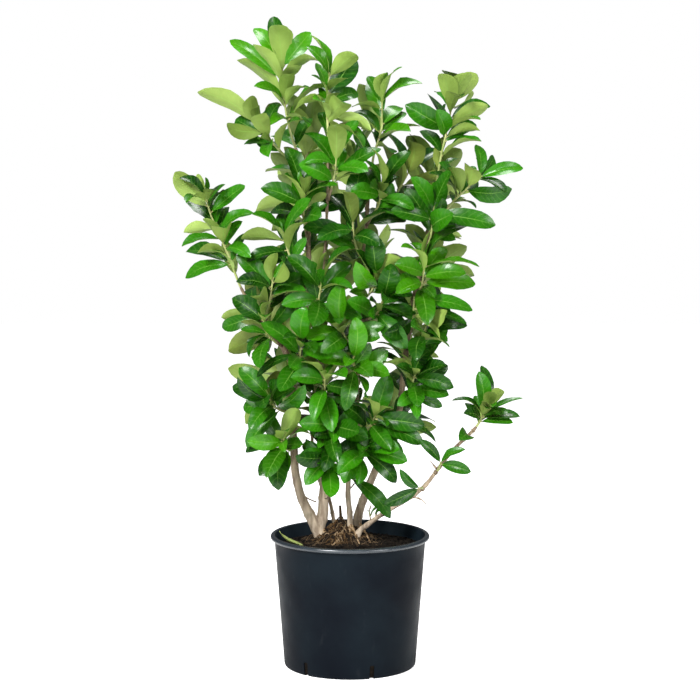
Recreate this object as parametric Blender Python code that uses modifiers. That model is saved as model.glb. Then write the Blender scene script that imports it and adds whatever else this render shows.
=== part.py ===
"""A cherry laurel in a nursery pot: pot, compost, woody stems and leafy shoots.

Lengths are in metres, except the routes and the leaves below, which are in millimetres (MM turns them
into metres). +X is right, +Y is back and +Z is up. The origin is the middle of the pot's underside.
"""

import math
import random
from collections import namedtuple

import bmesh
import bpy
import numpy
from mathutils import Vector
from mathutils.bvhtree import BVHTree

MM = 0.001

# Pot
POT_HEIGHT = 0.250
RIM_RADIUS = 0.150
RIM_BEAD = 0.0042
BODY_TOP_RADIUS = 0.1430
BODY_BOTTOM_RADIUS = 0.124
POT_WALL = 0.002
POT_FLOOR = 0.003
BASE_ROUND = 0.004
POT_SIDES = 28
BEAD_POINTS = 5
BEAD_FIRST_ANGLE = 90
BEAD_TURN = -210
SHARP_ANGLE = 35
SLOT_COUNT = 6
SLOT_FIRST_ANGLE = -71.0
SLOT_WIDTH = 0.009
SLOT_HEIGHT = 0.026
SLOT_DEPTH = 0.022

# Compost
SOIL_DROP = 0.025
SOIL_CROWN = 0.004
SOIL_BREAK_OUT = 0.6
SOIL_BREAK_UP = 0.4
MOUND_CENTRE = (-0.014, 0.046)
MOUND_SIZE = (0.066, 0.042, 0.017)
MOUND_SEGMENTS = 10
MOUND_RINGS = 6
CLEARANCE = 0.0003
HOLE_CLEARANCE = 0.0010
HOLE_SIDES = 8

# Stems. The rounding is the number of extra points on a quarter of a tube's section.
TWIG_RADIUS = 0.0030
SHOOT_RADIUS = 0.0024
SHOOT_TIP_RADIUS = 0.0014
TRUNK_ROUNDING = 1
TWIG_ROUNDING = 0
JOINT_RUN = 0.006
DIRECTION_WINDOW = 0.04

# Leaves
PETIOLE_HALF_WIDTH = 0.0014
PETIOLE_THICKNESS = 0.0026
BLADE_THICKNESS = 0.0016
BLADE_START = 0.07
BLADE_SKEW = 1.3
BLADE_FULLNESS = 0.57
RING_PLACES = (0.06, 0.33, 0.62, 0.87)
SMALL_RING_PLACES = (0.06, 0.43, 0.78)
SMALL_LEAF = 0.104
FIRST_BLADE_RING = 1
STEM_FIRST_LEAF = 0.16
STEM_LAST_LEAF = 0.96
LEAST_FACING = 0.2
ARCH_RANGE = (0.05, 0.12)

# The spiral rule's leaves: pitch from the stem at its foot and at its tip, in degrees, and the spreads.
# They lift towards the light for each metre above the level height, and droop below it. Their upper
# sides turn outwards, all the way from OUTER_DEPTH before or behind the middle.
GOLDEN_ANGLE = 137.5
TURN_SPREAD = 15
PITCH_AT_FOOT = 74
PITCH_AT_TIP = 34
PITCH_SPREAD = 12
LIFT_SLOPE = 0.7
LEVEL_HEIGHT = 0.62
SPIRAL_LENGTH = (0.85, 1.12)
SPIRAL_WIDTH = (0.39, 0.46)
MIDDLE_DEPTH = 0.025
OUTER_DEPTH = 0.050
SPIRAL_FACING = (0.0, 0.6)
SIDE_NUDGE = (0.001, 0.0, 0.0)

# A leaf that meets something is tried again, turned about its stem or smaller. GROWTH is the room
# that it keeps all round.
TURNS = (0, 14, -14, 28, -28, 44, -44, 62, -62)
SHRINKS = (1.0, 0.85)
GROWTH = 0.0005

# Fallen leaf
FALLEN_FROM = (-0.121, 0.024)
FALLEN_TO = (-0.074, -0.012)
FALLEN_WIDTH = 0.013
FALLEN_LIFT = 0.0016
FALLEN_ARCH = 0.03

# Clean meshes: pairs of weld distance and flat angle to try, the shortest edge to keep, the weld on
# a turned shape's axis, and the small moves to try where a join isn't sound
FLAT = math.radians(0.1)
CLEANINGS = ((0.00001, FLAT), (0.00001, 0), (0.00003, FLAT), (0.00003, 0), (0.000001, FLAT),
             (0.000001, 0), (0.0001, FLAT), (0.0001, 0))
SHORTEST_EDGE = 0.000004
AXIS_WELD = 0.00005
NUDGES = (0.0, 0.00002, 0.00003, -0.00006, 0.00012, -0.00020)
NUDGE_STEPS = 3

# name, colour, roughness
MATERIALS = {
    "pot_plastic": ((0.022, 0.026, 0.034), 0.42),
    "compost": ((0.060, 0.038, 0.024), 0.95),
    "bark": ((0.230, 0.170, 0.120), 0.80),
    "leaf_green": ((0.070, 0.170, 0.030), 0.35),
    "leaf_bright": ((0.160, 0.300, 0.045), 0.38),
    "leaf_dark": ((0.030, 0.085, 0.020), 0.32),
    "leaf_pale": ((0.420, 0.460, 0.220), 0.60),
}

# Each woody stem: its trunks, as base radius, top radius and the route in millimetres. A trunk that
# starts in the compost goes straight up out of its hole first.
WOOD = {
    "stem_left": (
        (9.0, 4.2, ((-57, 45, 200), (-57, 45, 240), (-79, 45, 281), (-94, 42, 315), (-104, 36, 362),
                    (-106, 30, 410), (-110, 22, 500), (-101, 16, 555), (-126, 10, 605), (-158, 4, 640),
                    (-190, 0, 690))),
        (6.5, 3.4, ((-61, 45, 246), (-51, 50, 280), (-50, 46, 343), (-52, 40, 420), (-50, 34, 500),
                    (-56, 28, 580), (-66, 24, 650), (-76, 20, 731), (-78, 20, 820), (-68, 24, 895),
                    (-92, 28, 945))),
    ),
    "stem_thin": (
        (3.4, 2.8, ((-28, 64, 205), (-28, 64, 245), (-38, 72, 300), (-60, 72, 340), (-72, 64, 400),
                    (-72, 58, 460))),
    ),
    "stem_centre": (
        (5.0, 3.2, ((0, 40, 200), (0, 40, 242), (0, 38, 277), (-4, 35, 315), (-2, 30, 381),
                    (15, 20, 447), (13, 20, 527), (16, 22, 600), (20, 26, 690), (27, 30, 780),
                    (34, 34, 882))),
    ),
    "stem_right": (
        (7.5, 3.6, ((12, 64, 200), (12, 64, 242), (16, 58, 277), (28, 50, 315), (47, 42, 362),
                    (72, 32, 424), (95, 22, 485), (99, 16, 542), (105, 15, 598), (113, 15, 640),
                    (118, 15, 690), (134, 15, 760), (146, 15, 820), (156, 15, 873))),
    ),
    "stem_low_branch": (
        (4.6, 3.2, ((14, 28, 205), (14, 28, 248), (54, 12, 281), (85, 4, 302), (117, -5, 322),
                    (142, -15, 345), (166, -24, 380), (189, -30, 412), (208, -35, 432),
                    (228, -40, 452))),
    ),
}

# Each leafy shoot: the woody stem that it grows on, its tone, the share of its route that is brown
# wood, its route from the stem's middle to its tip, its own leaves, and how many more leaves the
# spiral rule adds round it, with their length. A leaf is its place along the green stem (0 to 1), the
# place of its tip from there (right, back, up), its width, and how far its upper side (1) or its
# underside (-1) is turned to the front.
Shoot = namedtuple("Shoot", "name wood tone brown route leaves more length")
SHOOTS = tuple(map(Shoot._make, (
    ("shoot_top_left", "stem_left", "leaf_bright", 0.15,
     ((-92, 28, 945), (-101, 30, 972), (-110, 29, 1000), (-118, 27, 1035), (-124, 25, 1080),
      (-126, 25, 1140)),
     ((1.00, -4, -30, 68, 47, 0), (0.97, -17, 28, 88, 34, 0.2), (0.93, 50, -14, 64, 34, 0.5),
      (0.85, -50, 24, 88, 34, 0.5), (0.75, -98, 6, 76, 28, 0.6), (0.68, -76, -34, 74, 31, -0.5),
      (0.82, 68, -36, 36, 34, -0.6), (0.66, 30, -62, 40, 34, 0), (0.45, 10, -56, 56, 31, 0),
      (0.38, 40, -48, 46, 31, -0.2), (0.42, -52, -52, 36, 31, 0.4), (0.20, -42, -58, -4, 29, 0.5),
      (0.25, 44, -50, -10, 31, -0.5)),
     3, 101),
    ("shoot_upper_left", "stem_left", "leaf_green", 0.20,
     ((-92, 28, 945), (-108, 22, 952), (-130, 16, 968), (-150, 12, 992), (-166, 10, 1018)),
     ((1.00, -114, -20, 68, 40, -0.6), (0.96, -23, -32, 58, 34, -0.3), (0.80, -74, -40, 8, 34, -0.5),
      (0.60, -24, -50, 50, 34, -0.3), (0.45, -8, -66, -20, 34, 0.5), (0.70, -60, 34, 30, 34, 0.3)),
     3, 101),
    ("shoot_top_mid", "stem_left", "leaf_bright", 0.72,
     ((-66, 24, 650), (-55, 12, 720), (-45, 4, 800), (-41, 0, 900), (-40, 0, 990), (-43, 0, 1050),
      (-38, 0, 1114)),
     ((1.00, -36, -20, 54, 30, 0.5), (0.96, 50, -30, 46, 38, -0.5), (0.66, -20, 34, 58, 28, 0.2),
      (0.72, 36, -52, 26, 34, -0.3), (0.55, -62, -56, -20, 34, -0.5), (0.50, 58, 36, 20, 31, 0.4),
      (0.08, 70, -54, -26, 38, 0.5), (0.25, 78, -30, -18, 31, -0.5), (0.20, -54, -30, 44, 34, -0.4)),
     4, 99),
    ("shoot_top_centre", "stem_centre", "leaf_bright", 0.30,
     ((34, 34, 882), (38, 35, 920), (44, 35, 960), (60, 35, 1012), (59, 35, 1068)),
     ((1.00, 6, -28, 50, 38, 0.4), (0.97, 70, -16, 40, 34, 0.5), (0.94, -26, 16, 50, 27, 0.3),
      (0.82, -56, -40, 10, 31, -0.5), (0.55, 34, 42, 40, 31, 0.4), (0.30, 55, -50, 22, 40, 0.5),
      (0.18, 56, -44, -14, 34, -0.5), (0.40, -50, 30, 40, 34, 0.3)),
     4, 99),
    ("shoot_inner_right", "stem_centre", "leaf_dark", 0.40,
     ((31, 32, 840), (52, 46, 852), (85, 62, 882), (116, 68, 938)),
     ((1.00, 8, -14, 64, 38, 0.3), (0.90, 60, 20, 40, 34, 0.4)),
     6, 101),
    ("shoot_top_right", "stem_right", "leaf_green", 0.18,
     ((156, 15, 873), (160, 15, 900), (167, 12, 950), (184, 10, 1030), (192, 8, 1070)),
     ((1.00, -12, -32, 58, 38, 0), (0.96, 24, -32, 56, 31, -0.3), (0.93, 46, 6, 56, 28, 0.3),
      (0.78, 18, -64, 44, 34, 0), (0.85, -24, 36, 40, 29, 0.2), (0.72, 76, 12, 30, 31, 0.5),
      (0.62, 72, -32, 40, 34, -0.6), (0.55, 58, -58, 26, 31, -0.3), (0.45, 62, -46, 16, 31, -0.5),
      (0.38, 62, 24, 38, 31, 0.5), (0.58, -76, -26, 44, 45, 0.7), (0.50, -16, -56, 44, 38, 0.8),
      (0.22, -36, 38, 46, 31, 0.4)),
     3, 99),
    ("shoot_right_high", "stem_right", "leaf_green", 0.35,
     ((146, 15, 820), (164, 12, 844), (198, 8, 882), (244, 5, 924)),
     ((1.00, -4, 18, 60, 29, 0.4), (0.96, 80, -6, 22, 29, 0.5), (0.92, 50, -42, -22, 29, 0.5),
      (0.60, 6, -54, 48, 36, 0), (0.35, -16, -38, 56, 34, 0), (0.28, -46, 34, 46, 31, 0.3),
      (0.88, 36, 44, 42, 28, 0.3)),
     3, 95),
    ("shoot_right_upper", "stem_right", "leaf_green", 0.25,
     ((134, 15, 760), (142, 2, 784), (150, -18, 815), (154, -30, 868)),
     ((0.85, 114, -20, -16, 38, 0.5), (0.55, 82, -34, 6, 32, 0.5), (0.70, -76, -22, 20, 34, 0.6),
      (1.00, 30, -20, 70, 36, 0.4)),
     5, 92),
    ("shoot_right_mid", "stem_right", "leaf_bright", 0.25,
     ((118, 15, 694), (124, -4, 702), (133, -29, 723), (139, -40, 773)),
     ((0.50, 74, -34, 14, 36, 0.6), (0.78, 100, -22, 6, 28, 0.3), (0.30, 100, 14, 0, 36, 0.4),
      (0.60, -68, -20, 30, 40, 0.6), (0.35, -50, -52, -16, 34, 0.5)),
     4, 92),
    ("shoot_right_lower", "stem_right", "leaf_green", 0.25,
     ((113, 15, 636), (115, -6, 648), (117, -34, 668), (118, -50, 704)),
     ((0.90, 108, -10, -14, 30, 0.4), (0.60, 98, -12, -24, 22, 0.3), (0.40, 50, -44, -40, 34, -0.5),
      (0.50, -60, -34, 20, 36, 0.4)),
     4, 90),
    ("shoot_right_inner", "stem_right", "leaf_green", 0.25,
     ((105, 15, 598), (116, 0, 606), (132, -22, 622), (144, -36, 655)),
     ((0.76, 40, -32, -18, 22, 0.4), (0.50, -14, -62, -34, 34, 0.5)),
     4, 88),
    ("shoot_right_side", "stem_right", "leaf_green", 0.30,
     ((95, 22, 489), (104, 4, 500), (114, -24, 522), (120, -40, 562)),
     ((1.00, 22, -20, 46, 33, 0.6), (0.85, 70, -24, -12, 30, 0.5), (0.60, 8, -54, -32, 32, 0.6),
      (0.45, 66, -22, -4, 32, 0.5), (0.25, 58, -8, -24, 22, 0.3)),
     3, 88),
    ("shoot_far_left", "stem_left", "leaf_green", 0.14,
     ((-190, 0, 690), (-206, -1, 722), (-223, -5, 769), (-242, -8, 816), (-259, -10, 854),
      (-268, -12, 890)),
     ((1.00, -42, -14, 42, 31, 0.4), (0.96, -34, -60, 8, 31, -0.4), (0.94, 16, -50, 34, 29, -0.3),
      (0.80, 64, 12, 52, 34, 0.5), (0.66, -50, 24, 42, 31, 0.4), (0.45, -72, -22, -10, 31, 0.5),
      (0.60, -62, 28, -8, 31, -0.5), (0.10, -86, -18, -16, 36, 0.5), (0.26, -52, -50, 6, 31, -0.4),
      (0.50, 10, 44, 52, 31, 0.3), (0.54, 58, -22, 44, 31, 0.5), (0.32, 46, -56, -6, 31, 0.4)),
     4, 97),
    ("shoot_left_high", "stem_left", "leaf_green", 0.25,
     ((-158, 4, 640), (-156, -14, 660), (-148, -32, 692), (-142, -40, 736)),
     ((0.78, -58, -38, 20, 34, 0.4), (0.45, 66, -32, 18, 34, 0.4)),
     5, 88),
    ("shoot_centre_left", "stem_left", "leaf_green", 0.25,
     ((-78, 20, 800), (-82, 2, 818), (-86, -22, 850), (-84, -32, 904)),
     ((0.60, -72, -26, 36, 42, 0.6), (0.30, -64, 24, 12, 34, 0.5), (0.80, 60, -36, 24, 38, 0.4)),
     6, 92),
    ("shoot_left_inner", "stem_left", "leaf_green", 0.30,
     ((-76, 20, 740), (-92, 4, 752), (-112, -18, 776), (-124, -28, 818)),
     ((0.80, -80, -30, 8, 34, -0.6), (0.50, -74, -20, -10, 30, 0.3)),
     6, 90),
    ("shoot_left_centre", "stem_left", "leaf_green", 0.25,
     ((-66, 24, 660), (-64, 4, 672), (-58, -26, 694), (-52, -40, 734)),
     ((0.70, 56, -46, 16, 34, 0.4), (0.40, -66, -36, -4, 34, 0.5)),
     6, 90),
    ("shoot_left_fan", "stem_left", "leaf_green", 0.25,
     ((-126, 10, 605), (-138, -8, 614), (-154, -30, 634), (-162, -42, 668)),
     ((0.60, -42, -20, 22, 20, 0.2), (0.35, -38, -26, -34, 24, -0.4), (0.80, -54, 14, 34, 30, 0.4)),
     3, 86),
    ("shoot_left_front", "stem_left", "leaf_green", 0.25,
     ((-101, 16, 555), (-98, -6, 568), (-92, -38, 590), (-90, -56, 626)),
     ((1.00, 4, -30, 60, 46, 0.7), (0.50, -82, -22, -32, 22, 0.3), (0.70, 58, -42, -8, 34, 0.5)),
     5, 90),
    ("shoot_centre_front", "stem_centre", "leaf_bright", 0.25,
     ((16, 22, 600), (4, 2, 610), (-10, -30, 626), (-18, -50, 656)),
     ((0.95, -6, -14, 78, 44, 0.8), (0.60, -68, -30, -6, 38, 0.6), (0.45, 44, -58, -20, 34, 0.4)),
     5, 90),
    ("shoot_centre_high", "stem_centre", "leaf_dark", 0.25,
     ((25, 29, 760), (18, 10, 774), (8, -16, 804), (4, -28, 854)),
     ((0.60, -64, -40, -10, 36, 0.6), (0.45, 42, -52, -6, 34, 0.5)),
     6, 92),
    ("shoot_centre_bright", "stem_centre", "leaf_bright", 0.25,
     ((20, 26, 690), (30, 6, 698), (42, -22, 714), (50, -36, 748)),
     ((0.97, -6, -18, 74, 44, 0.7), (0.75, 50, -30, 46, 42, -0.5), (0.45, 42, -58, -20, 34, 0.5)),
     5, 90),
    ("shoot_centre_right", "stem_centre", "leaf_green", 0.30,
     ((18, 25, 650), (33, 5, 655), (52, -24, 672), (64, -42, 706)),
     ((0.96, 14, -26, 60, 42, 0.7), (0.60, 56, -52, -14, 34, 0.4), (0.45, 66, -20, 0, 34, 0.4)),
     5, 88),
    ("shoot_centre_low", "stem_centre", "leaf_bright", 0.25,
     ((13, 20, 540), (12, 0, 546), (8, -34, 562), (6, -58, 592)),
     ((1.00, 6, -22, 76, 38, 0.8), (0.70, -64, -28, 18, 36, 0.5), (0.50, -16, -52, -64, 32, 0.6),
      (0.60, 62, -36, -4, 34, 0.4)),
     4, 88),
    ("shoot_left_lower", "stem_left", "leaf_green", 0.25,
     ((-109, 23, 480), (-122, 4, 482), (-140, -22, 494), (-150, -40, 518)),
     ((0.90, -54, -14, 60, 36, 0.6), (0.60, 12, -52, 48, 44, 0.5), (0.60, -40, -62, -30, 32, 0.4),
      (0.40, -64, 20, 0, 31, 0.3)),
     4, 88),
    ("shoot_left_lowest", "stem_left", "leaf_bright", 0.25,
     ((-106, 30, 410), (-112, 10, 409), (-121, -18, 416), (-127, -42, 437)),
     ((0.85, -62, -30, 6, 34, 0.5), (0.55, -76, 20, -10, 31, 0.5), (0.45, -14, -50, -66, 42, 0.7),
      (0.26, -50, -34, -44, 34, 0.6)),
     3, 86),
    ("shoot_low_inner", "stem_thin", "leaf_green", 0.20,
     ((-72, 58, 460), (-71, 54, 482), (-68, 50, 508), (-64, 48, 538)),
     ((0.90, -30, 40, 56, 31, 0.3),),
     6, 97),
    ("shoot_low_front", "stem_left", "leaf_green", 0.30,
     ((-50, 44, 370), (-46, 24, 374), (-40, 0, 384), (-38, -24, 406)),
     ((0.60, -44, -42, -40, 34, 0.5), (0.80, 36, -58, -10, 34, 0.4), (0.85, -54, -36, 8, 32, 0.4)),
     3, 86),
    ("shoot_low_mid", "stem_left", "leaf_green", 0.25,
     ((-52, 40, 420), (-46, 18, 426), (-35, -11, 441), (-29, -38, 467)),
     ((0.90, -62, -38, 10, 34, 0.5), (0.70, 64, -42, -10, 34, 0.5), (0.50, 12, -62, -46, 34, 0.5)),
     4, 88),
    ("shoot_low_high", "stem_left", "leaf_green", 0.25,
     ((-50, 34, 500), (-50, 12, 508), (-48, -22, 524), (-46, -44, 556)),
     ((0.85, -60, -36, 12, 34, 0.6), (0.65, 60, -42, -6, 34, 0.5), (0.50, -20, -60, -46, 34, 0.5)),
     4, 88),
    ("shoot_upper_mid", "stem_left", "leaf_green", 0.30,
     ((-41, 1, 880), (-36, -16, 896), (-28, -34, 926), (-24, -40, 968)),
     ((0.60, -54, -38, 12, 34, 0.5), (0.50, 60, -36, -2, 34, 0.5)),
     5, 88),
    ("shoot_upper_right", "stem_centre", "leaf_green", 0.25,
     ((31, 31, 832), (40, 10, 846), (54, -14, 872), (60, -24, 916)),
     ((0.60, -54, -38, 12, 34, 0.5), (0.50, 60, -38, -8, 34, 0.5)),
     5, 88),
    ("shoot_right_low", "stem_centre", "leaf_green", 0.25,
     ((15, 20, 447), (24, 2, 450), (38, -26, 460), (48, -46, 484)),
     ((0.80, 92, -20, -8, 40, 0.6), (0.55, 94, -34, -26, 38, 0.5), (0.45, 36, -60, -36, 34, 0.5)),
     4, 88),
    ("shoot_low_right", "stem_centre", "leaf_green", 0.30,
     ((2, 28, 395), (10, 8, 396), (22, -20, 404), (32, -44, 424)),
     ((0.90, 76, -24, -20, 36, 0.6), (0.55, 62, -22, -50, 32, 0.6), (0.50, -50, -38, -34, 38, 0.6),
      (0.96, 50, -46, 26, 32, 0.5)),
     3, 86),
    ("shoot_branch_inner", "stem_low_branch", "leaf_dark", 0.35,
     ((136, -12, 338), (136, -22, 341), (133, -34, 344), (129, -48, 346)),
     ((0.90, -66, -26, -26, 25, 0.5), (0.95, -36, -30, 36, 19, 0.3)),
     0, 91),
    ("shoot_branch_mid", "stem_low_branch", "leaf_green", 0.30,
     ((160, -22, 371), (163, -31, 376), (166, -42, 384), (168, -54, 395)),
     ((1.00, -38, -22, 46, 20, 0.4), (0.92, 41, -28, 33, 21, 0.4), (0.80, 55, -30, -9, 25, 0.5)),
     0, 85),
    ("shoot_branch_head", "stem_low_branch", "leaf_green", 0.25,
     ((228, -40, 452), (235, -41, 461), (243, -42, 474), (249, -43, 490)),
     ((0.90, -8, -12, 78, 32, 0.6), (1.00, 0, 26, 84, 29, 0.4), (0.75, -52, -14, 36, 20, 0.4),
      (0.35, -38, -34, 26, 26, 0.5), (0.95, 14, -40, 44, 24, 0.6), (0.98, 32, -26, 46, 29, -0.5),
      (0.85, 73, 6, 30, 18, 0.2), (0.65, 46, -30, 14, 22, 0.5), (0.20, 60, -24, 2, 24, 0.5)),
     0, 89),
    ("shoot_back_top", "stem_left", "leaf_green", 0.25,
     ((-84, 27, 925), (-84, 56, 942), (-80, 86, 968), (-76, 108, 1004)), (), 7, 100),
    ("shoot_back_high_left", "stem_left", "leaf_green", 0.30,
     ((-78, 20, 820), (-86, 58, 838), (-94, 100, 866), (-98, 134, 906)), (), 8, 102),
    ("shoot_back_mid_left", "stem_left", "leaf_green", 0.30,
     ((-68, 23, 665), (-76, 66, 676), (-84, 116, 698), (-90, 156, 734)), (), 8, 104),
    ("shoot_back_left", "stem_left", "leaf_dark", 0.30,
     ((-126, 10, 605), (-138, 50, 616), (-150, 94, 638), (-158, 130, 672)), (), 7, 102),
    ("shoot_back_low_left", "stem_left", "leaf_green", 0.30,
     ((-110, 22, 500), (-120, 60, 508), (-132, 102, 526), (-140, 136, 556)), (), 7, 100),
    ("shoot_back_centre_high", "stem_centre", "leaf_bright", 0.30,
     ((32, 33, 860), (26, 70, 876), (16, 106, 906), (10, 132, 948)), (), 7, 100),
    ("shoot_back_centre", "stem_centre", "leaf_green", 0.30,
     ((22, 28, 715), (20, 72, 724), (16, 120, 744), (12, 160, 778)), (), 8, 104),
    ("shoot_back_low_centre", "stem_centre", "leaf_dark", 0.30,
     ((14, 20, 555), (6, 64, 562), (-4, 112, 578), (-12, 150, 608)), (), 7, 102),
    ("shoot_back_right_high", "stem_right", "leaf_green", 0.30,
     ((150, 15, 845), (154, 54, 862), (156, 92, 890), (156, 120, 930)), (), 7, 98),
    ("shoot_back_right", "stem_right", "leaf_green", 0.30,
     ((120, 15, 700), (132, 54, 708), (146, 98, 726), (156, 134, 760)), (), 8, 102),
    ("shoot_back_low_right", "stem_right", "leaf_green", 0.30,
     ((99, 16, 542), (108, 56, 550), (120, 100, 568), (128, 136, 600)), (), 7, 100),
    ("shoot_back_lowest", "stem_right", "leaf_green", 0.30,
     ((60, 37, 394), (64, 72, 402), (68, 108, 420), (70, 138, 450)), (), 7, 94),
)))


def clear_scene():
    """Remove the objects that a new file starts with."""
    for thing in list(bpy.data.objects):
        bpy.data.objects.remove(thing, do_unlink=True)


def make_collection(name):
    """A collection in the scene."""
    collection = bpy.data.collections.new(name)
    bpy.context.scene.collection.children.link(collection)
    return collection


def make_material(name):
    """The Principled material of that name."""
    colour, roughness = MATERIALS[name]
    material = bpy.data.materials.new(name)
    material.use_nodes = True
    shader = material.node_tree.nodes["Principled BSDF"]
    shader.inputs["Base Color"].default_value = (*colour, 1.0)
    shader.inputs["Roughness"].default_value = roughness
    shader.inputs["Metallic"].default_value = 0.0
    return material


def add_object(name, mesh, collection):
    """An object for the mesh, in the collection."""
    thing = bpy.data.objects.new(name, mesh)
    collection.objects.link(thing)
    return thing


def is_sound(shape):
    """Whether a shape, once triangulated, has two faces on each edge and no edge too short to keep."""
    test = shape.copy()
    bmesh.ops.triangulate(test, faces=test.faces)
    sound = all(edge.is_manifold and edge.calc_length() > SHORTEST_EDGE for edge in test.edges)
    test.free()
    return sound


def evaluated_mesh(thing):
    """The mesh of an object with its modifiers or its curve's bevel applied, its caps welded, with flat
    stretches as whole faces. The first weld and flatness that leave a sound shape are taken. There is
    no mesh where none does."""
    graph = bpy.context.evaluated_depsgraph_get()
    mesh = bpy.data.meshes.new_from_object(thing.evaluated_get(graph))
    for weld, flat in CLEANINGS:
        work = bmesh.new()
        work.from_mesh(mesh)
        bmesh.ops.remove_doubles(work, verts=work.verts, dist=weld)
        if flat:
            bmesh.ops.dissolve_limit(work, angle_limit=flat, verts=work.verts, edges=work.edges)
        if is_sound(work):
            break
        work.free()
    else:
        return None
    work.to_mesh(mesh)
    work.free()
    return mesh


def triangulate(thing):
    """Split an object's faces into triangles."""
    work = bmesh.new()
    work.from_mesh(thing.data)
    bmesh.ops.triangulate(work, faces=work.faces)
    work.to_mesh(thing.data)
    work.free()


def keep_main_body(mesh):
    """Drop every loose scrap, so that the mesh is one body."""
    work = bmesh.new()
    work.from_mesh(mesh)
    waiting = set(work.verts)
    bodies = []
    while waiting:
        reached = [waiting.pop()]
        body = []
        while reached:
            point = reached.pop()
            body.append(point)
            for edge in point.link_edges:
                other = edge.other_vert(point)
                if other in waiting:
                    waiting.remove(other)
                    reached.append(other)
        bodies.append(body)
    bodies.sort(key=len)
    for body in bodies[:-1]:
        bmesh.ops.delete(work, geom=body, context="VERTS")
    work.to_mesh(mesh)
    work.free()


def fuse(body, others, operation="UNION"):
    """Join the other objects to the body, or cut them from it, in one Boolean on a collection. Where
    edges meet too closely for a sound result, the others are moved by a few hundredths of a millimetre
    and joined again."""
    pieces = make_collection(body.name + "_pieces")
    for other in others:
        for holder in list(other.users_collection):
            holder.objects.unlink(other)
        pieces.objects.link(other)
    boolean = body.modifiers.new("Fuse", "BOOLEAN")
    boolean.operation = operation
    boolean.solver = "EXACT"
    boolean.operand_type = "COLLECTION"
    boolean.collection = pieces
    for nudge in NUDGES:
        for index, other in enumerate(others):
            other.location.z += nudge * (index % NUDGE_STEPS + 1)
        bpy.context.view_layer.update()
        joined = evaluated_mesh(body)
        if joined:
            break
    body.modifiers.clear()
    body.data = joined
    keep_main_body(joined)
    for other in others:
        bpy.data.objects.remove(other, do_unlink=True)
    bpy.data.collections.remove(pieces)


def route_lengths(route):
    """How far along the route each of its points lies."""
    runs = numpy.linalg.norm(numpy.diff(route, axis=0), axis=1)
    return numpy.concatenate(((0.0,), numpy.cumsum(runs)))


def point_at(route, share):
    """The point at that share of the route's length."""
    lengths = route_lengths(route)
    wanted = share * lengths[-1]
    return numpy.array([numpy.interp(wanted, lengths, route[:, axis]) for axis in range(3)])


def direction_at(route, share):
    """The unit direction of the route there."""
    before = max(share - DIRECTION_WINDOW, 0.0)
    after = min(share + DIRECTION_WINDOW, 1.0)
    run = point_at(route, after) - point_at(route, before)
    return run / numpy.linalg.norm(run)


def make_tube(name, route, radii, rounding, collection):
    """A tube of changing radius along the route, closed at both ends, as a mesh object."""
    curve = bpy.data.curves.new(name, "CURVE")
    curve.dimensions = "3D"
    curve.bevel_depth = 1.0
    curve.bevel_resolution = rounding
    curve.use_fill_caps = True
    spline = curve.splines.new("POLY")
    spline.points.add(len(route) - 1)
    for point, place, radius in zip(spline.points, route, radii):
        point.co = (*place, 1.0)
        point.radius = radius
    tube = add_object(name, curve, collection)
    mesh = evaluated_mesh(tube)
    bpy.data.objects.remove(tube, do_unlink=True)
    bpy.data.curves.remove(curve)
    return add_object(name, mesh, collection)


def turned(name, profile, collection):
    """A solid turned from a profile of (radius, height) that runs down its outer side."""
    mesh = bpy.data.meshes.new(name)
    points = [(radius, 0.0, height) for radius, height in profile]
    edges = [(index, index + 1) for index in range(len(points) - 1)]
    mesh.from_pydata(points, edges, [])
    thing = add_object(name, mesh, collection)
    screw = thing.modifiers.new("Turn", "SCREW")
    screw.steps = POT_SIDES
    screw.render_steps = POT_SIDES
    screw.use_merge_vertices = True
    screw.merge_threshold = AXIS_WELD
    thing.data = evaluated_mesh(thing)
    thing.modifiers.clear()
    return thing


def body_radius(height):
    """The pot's outer radius at a height, under its rim."""
    return BODY_BOTTOM_RADIUS + (BODY_TOP_RADIUS - BODY_BOTTOM_RADIUS) * height / POT_HEIGHT


def make_pot(collection):
    """The moulded shell: a tapered wall, a rolled rim, a flat floor and slots round the base."""
    inner_top = body_radius(POT_HEIGHT) - POT_WALL
    bead_centre = RIM_RADIUS - RIM_BEAD
    bead_height = POT_HEIGHT - RIM_BEAD
    bead = []
    for step in range(BEAD_POINTS):
        angle = math.radians(BEAD_FIRST_ANGLE + BEAD_TURN * step / (BEAD_POINTS - 1))
        bead.append((bead_centre + RIM_BEAD * math.cos(angle), bead_height + RIM_BEAD * math.sin(angle)))
    neck = bead[-1][1]
    profile = [
        (0.0, POT_FLOOR),
        (body_radius(POT_FLOOR) - POT_WALL, POT_FLOOR),
        (inner_top, POT_HEIGHT - RIM_BEAD),
        (inner_top + POT_WALL, POT_HEIGHT),
        *bead,
        (body_radius(neck), neck - RIM_BEAD / 2),
        (body_radius(BASE_ROUND), BASE_ROUND),
        (body_radius(0) - BASE_ROUND, 0.0),
        (0.0, 0.0),
    ]
    pot = turned("pot", profile, collection)
    slots = []
    for index in range(SLOT_COUNT):
        angle = math.radians(SLOT_FIRST_ANGLE + index * 360 / SLOT_COUNT)
        bpy.ops.mesh.primitive_cube_add(size=1)
        slot = bpy.context.object
        slot.scale = (SLOT_DEPTH, SLOT_WIDTH, SLOT_HEIGHT * 2)
        slot.rotation_euler = (0, 0, angle)
        slot.location = (BODY_BOTTOM_RADIUS * math.cos(angle), BODY_BOTTOM_RADIUS * math.sin(angle), 0)
        slots.append(slot)
    bpy.context.view_layer.update()
    fuse(pot, slots, "DIFFERENCE")
    return pot


def soil_radius(height):
    """The compost's radius at a height: the pot's inner wall, less the clearance."""
    return body_radius(height) - POT_WALL - CLEARANCE


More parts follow.
